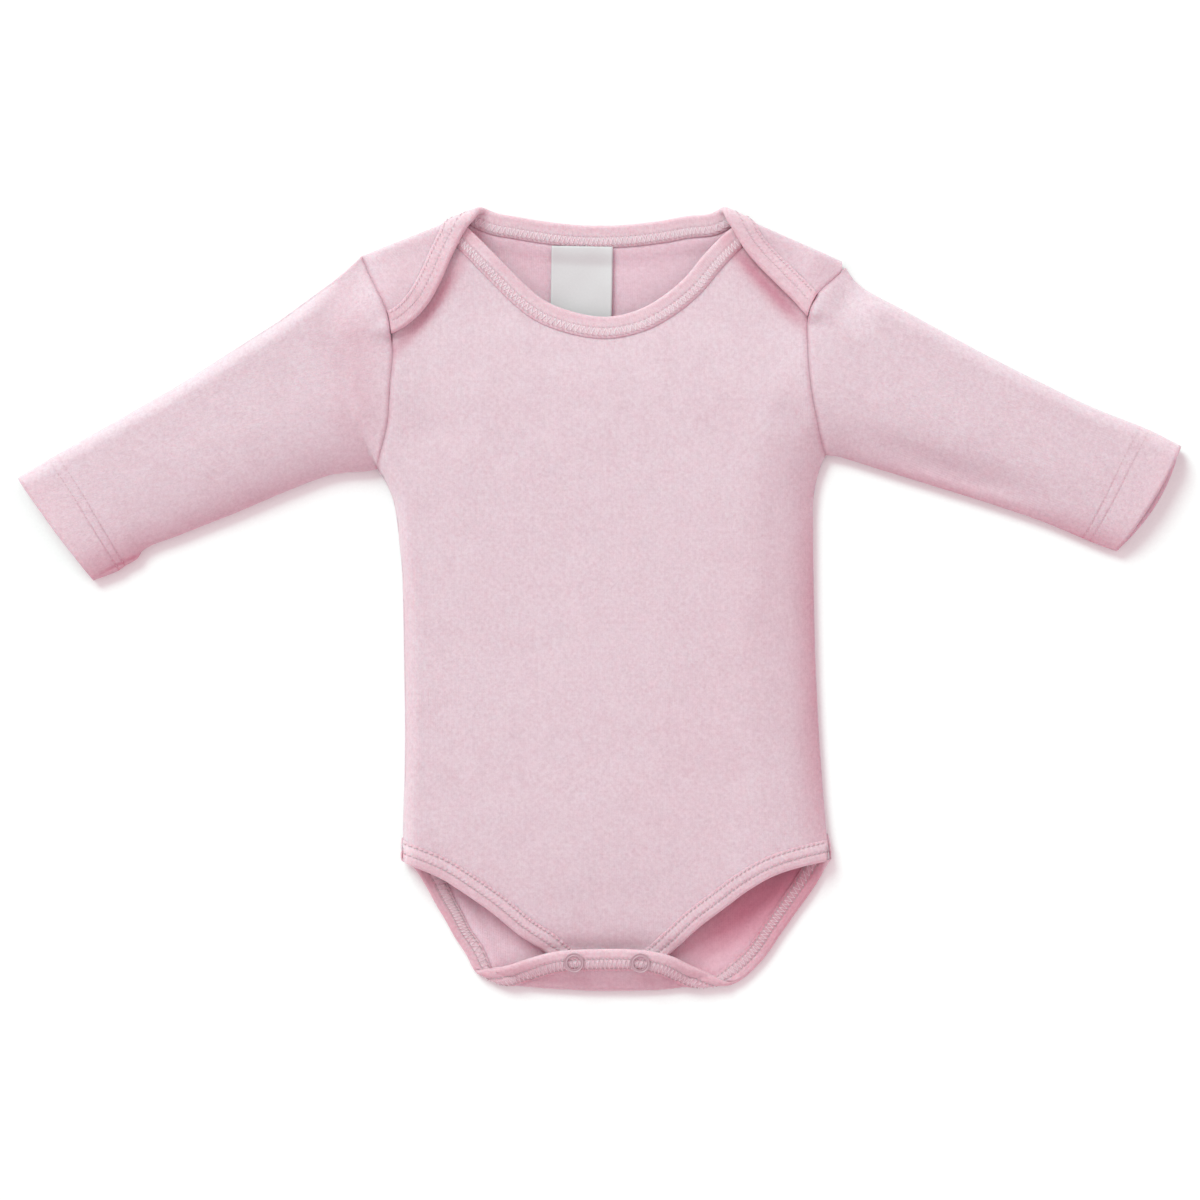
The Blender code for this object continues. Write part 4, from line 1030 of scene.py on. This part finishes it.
def backOutline():
    sides, neck, ways = [], [], []
    roll = garment["shoulderRoll"]
    for side in ("left", "right"):
        hole = armholeStations(side, panels["backArmhole"])
        across = shoulders[side]["armholeCross"]
        end = splitFold(side, *armholeStations(side, (0.97,))[0])[0]
        turned = ((end, roll), (across, roll * (1 - math.pi / 2)), (end, roll * (1 - math.pi)))
        over = [joinFold(side, *place) for place in turned]
        lap = armholeStations(side, panels["lapArmhole"][side])
        lap = [unfoldLap(side, *p) for p in lap]
        tip = unfoldLap(side, *lapEdges[side][0])
        corner = legCorner(side, backLeg[side][0])
        sides.append([corner, *sideSeam(side), *hole, *over, *lap, tip])
        line = armholeLine[side]
        above = line.at(line.nearestLength(lapEdges[side][0]) + 9.0)
        ways.append(unit(np.array(unfoldLap(side, *above)) - np.array(tip)))
        edge = [unfoldLap(side, *p) for p in lapEdges[side][1:]]
        upper = joinFold(side, shoulders[side]["upperCross"], roll * (1 - math.pi))
        lower = joinFold(side, shoulders[side]["lowerCross"], roll)
        neck.append([*edge, upper, lower])
    left, right = sides
    top = Line([left[-1], *neck[0], *backNeck, *neck[1][::-1], right[-1]])
    legs = {side: [unfoldCrotch(*p, False) for p in backLeg[side][1:]] for side in backLeg}
    flap = [unfoldCrotch(*p, True) for p in flapEdge]
    bottom = Line([left[0], *legs["left"], *flap, *legs["right"][::-1], right[0]])
    return left, right, top, bottom, ways


backLeft, backRight, backNeckLine, backLegLine, lapWays = backOutline()

# binding: rounded over the edge, pressed down along its two needle rows

band = {
    "wall": 0.85,
    "needleRows": {neckWidth: (1.2, 5.2), legWidth: (1.2, 5.7)},  # in from the binding's inner edge
    "needleDip": {neckWidth: 0.24, legWidth: 0.40},
    "backShare": 0.28,  # of the dips, on the other leaf
    "tuck": {neckWidth: 0.75, legWidth: 0.55},
    "pressedPaintedShade": {neckWidth: 0.6, legWidth: 0.9},  # painted shade, deeper pink where the needles press
    # painted shade on the binding's rolled edge
    "rollPaintedShade": 0.25,
}


def bandSection(width):
    # its points: distance in from the edge, offset from the panel, depth of painted shade
    leaf, turn = garment["leaf"], 0.45 + garment["leaf"]
    top, under = [], []
    for d in (width, width - 0.35, width - 0.8, *np.arange(width - 1.3, turn, -0.62), turn):
        rows = band["needleRows"][width]
        dip = sum(math.exp(-(((width - d - row) / 0.7) ** 2)) for row in rows)
        dip *= band["needleDip"][width]
        tuck = band["tuck"][width] * math.exp(-(((width - d) / 0.6) ** 2))
        puff = 0.10 * math.sin(math.pi * min(1.0, d / width))
        # painted shade in the needle dips, the tuck and the rolled edge
        paintedShade = band["pressedPaintedShade"][width] * (dip + tuck)
        paintedShade = paintedShade + band["rollPaintedShade"] * ease((5.0 - d) / 2.0)
        top.append((d, leaf + puff - dip - tuck, paintedShade))
        share = band["backShare"] if width == neckWidth else 1.0
        under.append((d, -(leaf + puff - share * (dip + tuck)), share * paintedShade))
    arc = [math.pi / 2 * (1 - k / 4) for k in range(1, 8)]
    around = [(turn - leaf * math.cos(a), leaf * math.sin(a), band["rollPaintedShade"]) for a in arc]
    return top + around + under[::-1]


def bandRows(edge, width):
    rows = []
    for distance, offset, _ in bandSection(width):
        flat = edge.row(distance)
        rows.append(np.column_stack([flat, np.full(len(flat), offset)]))
    return np.array(rows)


def clothPiece(
    name, node, slot, materials, surface, rows, thickness, cut=None, above=False, paintedShade=0.0
):
    flat = rows
    if rows.shape[2] == 2:  # a panel has no offset
        flat = np.concatenate([rows, np.zeros((*rows.shape[:2], 1))], axis=2)
    places = placed(surface, flat.reshape(-1, 3))[0].reshape(flat.shape)
    obj = clothMesh(name, places, flat[..., :2] if cut is None else cut)
    giveWall(obj, thickness, materials[1] if len(materials) > 1 else None, above)
    paintShade(obj, node, paintedShade)
    return dress(obj, node, slot, *materials)


def bindingPiece(name, node, surface, edge, width, low):
    # its cut is a straight strip: along the edge, and across from its middle
    rows = bandRows(edge, width)
    section = np.array(bandSection(width))
    across = runLengths(section[:, :2])
    across = np.abs(across - across[-1] / 2)
    cut = np.stack(np.broadcast_arrays(edge.lengths[None, :], across[:, None]), axis=-1)
    # the painted shade of each row of the section
    paintedShade = np.broadcast_to(section[:, 2:], rows.shape[:2])
    if low:
        rows, cut, paintedShade = rows[::-1], cut[::-1], paintedShade[::-1]
    cloth, wall = [bandCloth[width]], band["wall"]
    return clothPiece(name, node, "binding", cloth, surface, rows, wall, cut, paintedShade=paintedShade)


# front

frontLeft, frontRight = frontSides()
neckLine = Line(frontNeck)
leftTop, rightTop = np.array(frontLeft[-1]), np.array(frontRight[-1])
frontTop = Line([leftTop, (leftTop + neckLine.points[0]) / 2, neckLine.points[0]])
neckStart = frontTop.length
frontTop.extend(neckLine)
neckEnd = frontTop.length
frontTop.extend(Line([neckLine.points[-1], (rightTop + neckLine.points[-1]) / 2, rightTop]))
frontColumns = finer(panels["frontStops"], 300.0, panels["spacing"])
stops = (0.0, *panels["neckStops"], 1.0)
frontLengths = np.interp(frontColumns, stops, (0.0, neckStart, neckEnd, frontTop.length))
neckBound = [int(np.argmin(np.abs(frontColumns - stop))) for stop in panels["neckStops"]]
frontHigh = Edge(frontTop, frontLengths, *cornerWays(frontLeft, frontRight, True), -1, neckBound)
frontLegLine = Line([frontLeft[0], *frontLeg[1:-1], frontRight[0]])
legLengths = frontColumns * frontLegLine.length
frontLow = Edge(frontLegLine, legLengths, *cornerWays(frontLeft, frontRight, False), 1)
bands = (legWidth, neckWidth)
frontRows = cutPanel(
    frontLow, frontHigh, frontLeft, frontRight, frontColumns, bands, panels["spacing"]
)
frontPanel = clothPiece(
    "frontPanel", "front_panel", "jersey", bothSides, layFront, frontRows, garment["wall"]
)


def edgePart(edge, first, last):
    # the same edge, between two of its columns
    part = copy.copy(edge)
    for name in ("lengths", "points", "way"):
        setattr(part, name, getattr(edge, name)[first : last + 1])
    return part


neckFront = (layFront, edgePart(frontHigh, *neckBound), neckWidth)
legFront = (layFront, frontLow, legWidth)
neckBindingFront = bindingPiece("neckBindingFront", "neck_binding_front", *neckFront, False)
legBindingFront = bindingPiece("legBindingFront", "leg_binding_front", *legFront, True)
print("front is cut and laid")

# back, with the shoulder laps and the crotch flap in one

backColumns = finer(panels["backStops"], 380.0, panels["spacing"])
backHigh = Edge(backNeckLine, backColumns * backNeckLine.length, *lapWays, -1)
backLow = Edge(
    backLegLine, backColumns * backLegLine.length, *cornerWays(backLeft, backRight, False), 1
)
backRows = cutPanel(backLow, backHigh, backLeft, backRight, backColumns, bands, panels["spacing"])
backPanel = clothPiece(
    "backPanel", "back_panel", "jersey", bothSides, foldBack, backRows, garment["wall"], above=True
)
neckBack = (foldBack, backHigh, neckWidth)
legBack = (foldBack, backLow, legWidth)
neckBindingBack = bindingPiece("neckBindingBack", "neck_binding_back", *neckBack, False)
legBindingBack = bindingPiece("legBindingBack", "leg_binding_back", *legBack, True)
print("back is cut and folded")

# sleeves

# the hem's tone value is painted shade along its needle rows
sleeveCut = {"steps": 86, "upper": 56, "lower": 30, "hemDip": 0.16, "hemPaintedShade": 0.5, "tipLift": 1.2}


def sleeveLift(side, x, y):
    near = ease(1 - armholeLine[side].distance(x, y) / 16.0)
    tipX, tipY = lapEdges[side][0]
    above = ease((y - tipY + 4.0) / 6.0)
    atTip = ease((11.0 - np.hypot(x - tipX, y - tipY)) / 7.0)
    lift = sleeves[side]["liftShare"] * garment["lapLiftAtArmhole"] * near
    return above * (lift + sleeveCut["tipLift"] * atTip * near)


def sleeveEdges(side, steps):
    # the sleeve's upper and lower edges in plan, at shares of the way to the cuff
    line, sleeve = armholeLine[side], sleeves[side]
    topStart = intoAxes(armAxes[side], *line.points[-1])[0]
    lowStart = intoAxes(armAxes[side], *line.points[0])[0]
    alongTop = topStart + (sleeve["cuffTop"][0] - topStart) * steps
    alongLow = lowStart + (sleeve["cuffBottom"][0] - lowStart) * steps
    top = fromAxes(armAxes[side], alongTop, armEdges(side, alongTop)[0])
    return top, fromAxes(armAxes[side], alongLow, armEdges(side, alongLow)[1])


def sleevePlan(side, steps, shares, bowShare):
    # places in plan, from the armhole to the cuff and from the lower edge to the upper
    sleeve = sleeves[side]
    top, low = sleeveEdges(side, steps)
    topEnds, lowEnds = sleeveEdges(side, np.array([0.0, 1.0]))
    hole = np.array(armholeStations(side, shares))
    cuff = lowEnds[1] + shares[:, None] * (topEnds[1] - lowEnds[1])
    bowOut = sleeve["cuffBow"] * bowShare * 4 * shares * (1 - shares)
    cuff = cuff + bowOut[:, None] * armAxes[side][1]
    v, share = steps[:, None, None], shares[None, :, None]
    plan = (1 - v) * hole[None] + v * cuff[None]
    plan = plan + (1 - share) * low[:, None] + share * top[:, None]
    plan = plan - (1 - share) * ((1 - v) * lowEnds[0] + v * lowEnds[1])
    return plan - share * ((1 - v) * topEnds[0] + v * topEnds[1])


def sleeveUpper(side, x, y):
    return upperHeight(x, y) + sleeveLift(side, x, y)


def sleeveLower(side, x, y):
    # the side makes no difference down here
    return lowerHeight(x, y, garment["floor"])


def roundShares(count):
    # closer together at both ends, where the cloth turns under
    t = np.linspace(0, math.pi, count + 1)
    even = np.linspace(0, 1, count + 1)
    return 0.62 * (1 - np.cos(t)) / 2 + 0.38 * even


def hemFade(shares):
    # the needle rows press deeper towards the lower edge
    return 0.3 + 0.7 * ease((0.75 - shares) / 0.5)


def sleevePiece(side):
    length, rows = sleeves[side]["length"], sleeves[side]["hemRows"]
    hemStart, hemEnd = 1 - (rows[1] + 1.5) / length, 1 - (rows[0] - 1.5) / length
    steps = np.concatenate(
        [
            np.linspace(0, 0.03, 10)[:-1],  # closer at the seam
            np.linspace(0.03, hemStart, sleeveCut["steps"])[:-1],
            np.linspace(hemStart, hemEnd, 19)[:-1],
            np.linspace(hemEnd, 1, 10),
        ]
    )
    groove = sum(np.exp(-((((1 - steps) * length - row) / 0.55) ** 2)) for row in rows)
    groove = groove[:, None]
    upper = roundShares(sleeveCut["upper"])[::-1]
    lower = roundShares(sleeveCut["lower"])[1:-1]
    rings, cuts = [], []
    for shares, height, bowShare in ((upper, sleeveUpper, 0.35), (lower, sleeveLower, 1.0)):
        plan = sleevePlan(side, steps, shares, bowShare)
        z = height(side, plan[..., 0], plan[..., 1])
        pull = sleeveCut["hemDip"] * (1 + 0.8 * softNoise(plan[..., 0], plan[..., 1], 3.0, 12))
        z = z + (-1 if height is sleeveUpper else 0.6) * groove * pull * hemFade(shares)
        rings.append(np.concatenate([plan, z[..., None]], axis=2))
        a, b = intoAxes(armAxes[side], plan[..., 0], plan[..., 1])
        # painted shade along the hem's needle rows
        cuts.append(np.stack([b, a, sleeveCut["hemPaintedShade"] * groove * hemFade(shares)], axis=-1))
    ring, cut = np.concatenate(rings, axis=1), np.concatenate(cuts, axis=1)
    if side == "left":
        ring, cut = ring[:, ::-1], cut[:, ::-1]
    obj = clothMesh("sleeve" + side.capitalize(), ring, cut[..., :2], closed=True)
    giveWall(obj, garment["wall"], jerseyInside)
    paintShade(obj, "sleeve_" + side, cut[..., 2])
    return dress(obj, "sleeve_" + side, "jersey", jerseyCloth, jerseyInside)


sleevePieces = {side: sleevePiece(side) for side in sleeves}
print("sleeves are set in")

# label

label = {
    "size": (30.6, 40.0),
    "centre": (-9.2, 156.2),
    "turn": math.radians(-1.0),
    "rise": 1.6,
    "thickness": 0.5,
    "curl": 0.5,  # up at its side edges
    "wave": 0.25,
}


def labelPiece():
    wide, high = label["size"]
    u, v = np.meshgrid(np.linspace(-wide / 2, wide / 2, 32), np.linspace(-high / 2, high / 2, 40))
    c, s = math.cos(label["turn"]), math.sin(label["turn"])
    x = label["centre"][0] + c * u - s * v
    y = label["centre"][1] + s * u + c * v
    curl = label["curl"] * (np.abs(u) / (wide / 2)) ** 6
    curl = curl + label["wave"] * softNoise(u, v, 11.0, 21)
    rows = np.stack([x, y, label["rise"] + curl], axis=-1)
    wall = label["thickness"]
    return clothPiece("neckLabel", "label", "label", [labelTape], foldBack, rows, wall)


neckLabel = labelPiece()

# sewing: every stitch is a short loop of thread, laid by Geometry Nodes


def stitchTree():
    tree = bpy.data.node_groups.new("laidStitches", "GeometryNodeTree")
    inputs = (
        ("Geometry", "NodeSocketGeometry", None),
        ("Thread thickness", "NodeSocketFloat", sewing["thickness"] * mm),
        ("Thread rise", "NodeSocketFloat", sewing["rise"] * mm),
        ("Thread", "NodeSocketMaterial", None),
    )
    for name, kind, value in inputs:
        socket = tree.interface.new_socket(name, in_out="INPUT", socket_type=kind)
        if value is not None:
            socket.default_value = value
    tree.interface.new_socket("Geometry", in_out="OUTPUT", socket_type="NodeSocketGeometry")
    nodes = tree.nodes
    start, end = nodes.new("NodeGroupInput"), nodes.new("NodeGroupOutput")
    arch = nodes.new("GeometryNodeCurveQuadraticBezier")
    arch.inputs["Resolution"].default_value = 4
    arch.inputs["Start"].default_value = (-0.5, 0.0, 0.0)
    arch.inputs["End"].default_value = (0.5, 0.0, 0.0)
    peak = nodes.new("ShaderNodeCombineXYZ")
    profile = nodes.new("GeometryNodeCurvePrimitiveCircle")
    profile.inputs["Resolution"].default_value = 5
    half = calc(tree, "MULTIPLY", start.outputs["Thread thickness"], 0.5)
    feed(tree, profile.inputs["Radius"], half)
    aim = nodes.new("FunctionNodeAxesToRotation")
    aim.primary_axis = "Z"
    aim.secondary_axis = "X"
    read = {}
    for name, kind in (("outward", "FLOAT_VECTOR"), ("along", "FLOAT_VECTOR"), ("run", "FLOAT")):
        read[name] = nodes.new("GeometryNodeInputNamedAttribute")
        read[name].data_type = kind
        read[name].inputs["Name"].default_value = name
    size = nodes.new("ShaderNodeCombineXYZ")
    size.inputs["Y"].default_value = 1.0
    size.inputs["Z"].default_value = 1.0
    lay = nodes.new("GeometryNodeInstanceOnPoints")
    real = nodes.new("GeometryNodeRealizeInstances")
    sweep = nodes.new("GeometryNodeCurveToMesh")
    sweep.inputs["Fill Caps"].default_value = True
    finish = nodes.new("GeometryNodeSetMaterial")
    links = (
        (start, "Thread rise", peak, "Z"),
        (peak, "Vector", arch, "Middle"),
        (read["outward"], "Attribute", aim, "Primary Axis"),
        (read["along"], "Attribute", aim, "Secondary Axis"),
        (read["run"], "Attribute", size, "X"),
        (start, "Geometry", lay, "Points"),
        (arch, "Curve", lay, "Instance"),
        (aim, "Rotation", lay, "Rotation"),
        (size, "Vector", lay, "Scale"),
        (lay, "Instances", real, "Geometry"),
        (real, "Geometry", sweep, "Curve"),
        (profile, "Curve", sweep, "Profile Curve"),
        (sweep, "Mesh", finish, "Geometry"),
        (start, "Thread", finish, "Material"),
        (finish, "Geometry", end, "Geometry"),
    )
    for source, output, target, entry in links:
        tree.links.new(source.outputs[output], target.inputs[entry])
    return tree


laidStitches = stitchTree()


def stitchPiece(name, starts, ends, outward, thread, thickness):
    # one loop of thread from each start to its end, clear of the floor
    least = thickness / 2 + sewing["rise"] / 2 + sewing["clear"]
    for tips in (starts, ends):
        tips[:, 2] = np.maximum(tips[:, 2], least)
    places = ((starts + ends) / 2 - garment["middle"]) * mm
    run = np.linalg.norm(ends - starts, axis=1)
    mesh = bpy.data.meshes.new(name)
    mesh.from_pydata(places.tolist(), [], [])
    for attribute, values in (("outward", outward), ("along", unit(ends - starts))):
        layer = mesh.attributes.new(attribute, "FLOAT_VECTOR", "POINT")
        layer.data.foreach_set("vector", values.astype(np.float32).ravel())
    layer = mesh.attributes.new("run", "FLOAT", "POINT")
    layer.data.foreach_set("value", (run * mm).astype(np.float32))
    obj = intoScene(name, mesh)
    modifier = obj.modifiers.new("stitches", "NODES")
    modifier.node_group = laidStitches
    values = {"Thread": thread, "Thread thickness": thickness * mm}
    for item in laidStitches.interface.items_tree:
        if item.in_out == "INPUT" and item.name in values:
            modifier[item.identifier] = values[item.name]
    makePlain(obj)
    for vertex in obj.data.vertices:
        vertex.co.z = max(vertex.co.z, sewing["clear"] * mm)
    obj.data.shade_smooth()
    return dress(obj, None, "binding", thread)


def seamPoints(surface, edge, lengths, distance, offset):
    flat = edge.point(lengths, np.broadcast_to(distance, lengths.shape))
    rows = np.column_stack([flat, np.broadcast_to(offset, lengths.shape)])
    places, normal, _, _ = placed(surface, rows)
    return places, normal * np.sign(offset)


def stitchStarts(edge):
    first, last = edge.lengths[0] + sewing["trim"], edge.lengths[-1] - sewing["trim"]
    return np.arange(first, last - sewing["pitch"], sewing["pitch"])


def needleRows(surface, edge, width, face):
    # two rows of short dashes, each a little aslant
    at = stitchStarts(edge)
    share = band["backShare"] if face < 0 and width == neckWidth else 1.0
    dip = share * band["needleDip"][width]
    offset = face * (garment["leaf"] + band["wall"] / 2 - dip + sewing["proud"])
    parts = []
    for row in band["needleRows"][width]:
        inset = width - row
        a, normal = seamPoints(surface, edge, at, inset - sewing["slant"], offset)
        b, _ = seamPoints(surface, edge, at + sewing["dash"], inset + sewing["slant"], offset)
        parts.append((a, b, normal))
    return parts


def loopRows(surface, edge, width, face):
    # the thread that runs to and fro between the needle rows
    at, half = stitchStarts(edge), sewing["pitch"] / 2
    offset = face * (garment["leaf"] + band["wall"] / 2 + sewing["proud"])
    inner, outer = (width - row for row in band["needleRows"][width])
    parts = []
    for start, end, shift in ((inner, outer, 0.0), (outer, inner, half)):
        step = 0.3 if start < end else -0.3
        a, normal = seamPoints(surface, edge, at + shift, start + step, offset)
        b, _ = seamPoints(surface, edge, at + shift + half, end - step, offset)
        parts.append((a, b, normal))
    return parts


def joined(parts):
    return [np.concatenate(column) for column in zip(*parts)]


def sew(name, rows, surface, edge, width, faces, thread):
    parts = [part for face in faces for part in rows(surface, edge, width, face)]
    thickness = sewing["thickness"] if rows is needleRows else sewing["loop"]
    return stitchPiece(name, *joined(parts), thread, thickness)


def hemPlaces(side, height, sign, plan):
    # on the cloth's outer face, with its normals
    d = 0.3
    z = height(side, plan[:, 0], plan[:, 1])
    zx = (height(side, plan[:, 0] + d, plan[:, 1]) - z) / d
    zy = (height(side, plan[:, 0], plan[:, 1] + d) - z) / d
    normal = unit(np.stack([-zx, -zy, np.ones(len(plan))], axis=-1))
    place = np.column_stack([plan, z])
    return place + sign * (garment["wall"] / 2 - 0.12) * normal, sign * normal


def sewHem(side):
    sleeve = sleeves[side]
    edges = np.linspace(0.02, 0.98, 30)
    parts = []
    for height, bowShare, sign in ((sleeveUpper, 0.35, 1), (sleeveLower, 1.0, -1)):
        for inset in sleeve["hemRows"]:
            plan = sleevePlan(side, np.array([1 - inset / sleeve["length"]]), edges, bowShare)[0]
            p, normal = hemPlaces(side, height, sign, plan)
            start, end = p[:-1] * 0.75 + p[1:] * 0.25, p[:-1] * 0.25 + p[1:] * 0.75
            parts.append((start, end, normal[:-1]))
    return joined(parts)


neckThreads = [
    sew("neckThreadFront", needleRows, *neckFront, (1,), threadPink),
    sew("neckLoopsFront", loopRows, *neckFront, (1,), threadPale),
]
legThreads = [sew("legThreadFront", needleRows, *legFront, (1,), threadDeep)]
backThreads = [
    sew("neckThreadBack", needleRows, *neckBack, (1, -1), threadPink),
    sew("neckLoopsBack", loopRows, *neckBack, (1,), threadPale),
    sew("legThreadBack", needleRows, *legBack, (1, -1), threadDeep),
    sew("legLoopsBack", loopRows, *legBack, (1, -1), threadSoft),
]
hemThread = {
    side: stitchPiece("hemThread" + side.capitalize(), *sewHem(side), threadPink, sewing["hem"])
    for side in sleeves
}
print("bindings and hems are sewn")

# snaps: a prong ring on the flap, socket and stud between, a ring under the tab

snaps = {
    "places": {"left": (-13.0, -181.6), "right": (20.0, -181.8)},
    "steps": 64,
    "tilt": 0.13,  # the cap leans with the flap
    "sunk": 0.15,  # into the binding's face
    "capBelow": 0.5,
    "capAbove": 0.62,
    "backRing": {"radius": 3.95, "wire": 0.9, "low": 1.35, "high": 1.95},
    # radius and height of each profile point
    "stud": [
        (0.0, 7.6), (1.1, 7.6), (1.7, 7.35), (1.55, 6.75), (2.2, 6.62), (3.9, 6.5),
        (4.0, 6.3), (3.9, 6.12), (0.0, 6.12),
    ],
    "socket": [(2.1, 7.9), (3.8, 7.9), (4.0, 7.7), (4.0, 7.15), (3.8, 7.02), (2.1, 7.02)],
}


def turned(name, node, profile, centre, tilt):
    # a profile of (radius, height) turned about the snap's axis
    count = snaps["steps"]
    bm = bmesh.new()
    rings = []
    for radius, height in profile:
        # a point on the axis is one vertex
        ring = []
        for k in range(count if radius > 0 else 1):
            angle = 2 * math.pi * k / count
            x, y = centre[0] + radius * math.cos(angle), centre[1] + radius * math.sin(angle)
            ring.append(bm.verts.new((x, y, height)))
        rings.append(ring)
    pairs = list(zip(rings, rings[1:]))
    if len(rings[0]) > 1:
        pairs.append((rings[-1], rings[0]))
    for low, high in pairs:
        for k in range(count):
            m = (k + 1) % count
            corners = [low[k % len(low)], low[m % len(low)]]
            corners += [high[m % len(high)], high[k % len(high)]]
            bm.faces.new(list(dict.fromkeys(corners)))
    bmesh.ops.recalc_face_normals(bm, faces=bm.faces[:])
    for vert in bm.verts:
        vert.co.z += tilt * (vert.co.y - centre[1])
        vert.co = (np.array(vert.co) - garment["middle"]) * mm
    mesh = bpy.data.meshes.new(name)
    bm.to_mesh(mesh)
    bm.free()
    mesh.shade_smooth()
    return dress(intoScene(name, mesh), node, "snap", snapEnamel)


def capProfile(low, high):
    # a flat ring with a fine rim along both of its edges
    rims = [(3.3, low), (3.3, high - 0.12), (3.42, high), (3.6, high), (3.72, high - 0.2)]
    rims = rims + [(4.1, high - 0.26), (4.5, high - 0.2), (4.62, high), (4.8, high)]
    return rims + [(4.88, high - 0.12), (4.88, low)]


def ringProfile(radius, wire, low, high):
    middle, half = (low + high) / 2, (high - low) / 2
    angles = [2 * math.pi * k / 12 for k in range(12)]
    return [(radius + wire * math.cos(a), middle + half * math.sin(a)) for a in angles]


def snapPieces(side, centre):
    flapTop = garment["flapHeight"] + garment["leaf"] + band["wall"] / 2 - snaps["sunk"]
    cap = capProfile(flapTop - snaps["capBelow"], flapTop + snaps["capAbove"])
    parts = (
        ("snapRing", "snap_ring_", cap, snaps["tilt"]),
        ("snapBackRing", "snap_back_ring_", ringProfile(**snaps["backRing"]), 0.0),
        ("snapStud", "snap_stud_", snaps["stud"], 0.0),
        ("snapSocket", "snap_socket_", snaps["socket"], 0.0),
    )
    for name, node, profile, tilt in parts:
        turned(name + side.capitalize(), node + side, profile, centre, tilt)


for side, centre in snaps["places"].items():
    snapPieces(side, centre)
print("snaps are fastened")

# stage, light and camera

stage = {
    "floor": (0.98, 0.98, 0.98),
    "floorReach": 3.0,
    "floorDrop": 0.0003,  # keeps it clear of the cloth
    "sky": 0.856,
    "skyColour": (1.0, 0.85, 0.885),
    "sun": 2.35,
    "sunColour": (0.67, 1.0, 0.905),
    "sunPlace": (-0.45, 0.68, 0.574),  # the light comes from there
    "sunSize": 0.5,
    "cameraHeight": 2.2,
    "frameHeight": 0.005,  # where the view is as wide as the frame
    "frameWidth": 0.6,
    "frameCentre": (0.00027, -0.00051),
}


def makeFloor():
    mesh = bpy.data.meshes.new("floor")
    bm = bmesh.new()
    bmesh.ops.create_grid(bm, x_segments=2, y_segments=2, size=stage["floorReach"])
    bm.to_mesh(mesh)
    bm.free()
    mesh.transform(Matrix.Translation((0.0, 0.0, -stage["floorDrop"])))
    mesh.materials.append(plainMaterial("palePaper", stage["floor"], 0.9))
    intoScene("floor", mesh)


def farLight(name, strength, colour, place, size):
    light = bpy.data.lights.new(name, "SUN")
    light.energy = strength
    light.color = colour
    light.angle = size
    lamp = intoScene(name, light)
    lamp.location = place
    lamp.rotation_euler = (-Vector(place)).to_track_quat("-Z", "Y").to_euler()


def setWorld():
    world = bpy.data.worlds.new("softRoom")
    world.use_nodes = True
    back = world.node_tree.nodes["Background"]
    back.inputs["Color"].default_value = (*stage["skyColour"], 1.0)
    back.inputs["Strength"].default_value = stage["sky"]
    bpy.context.scene.world = world


def setCamera():
    data = bpy.data.cameras.new("camera")
    data.sensor_width = 36.0
    away = stage["cameraHeight"] - stage["frameHeight"]
    data.lens = data.sensor_width * away / stage["frameWidth"]
    camera = intoScene("camera", data)
    camera.location = (*stage["frameCentre"], stage["cameraHeight"])
    bpy.context.scene.camera = camera


makeFloor()
farLight("key", stage["sun"], stage["sunColour"], stage["sunPlace"], stage["sunSize"])
setWorld()
setCamera()
bpy.context.scene.view_settings.view_transform = "Standard"
print("stage is set")
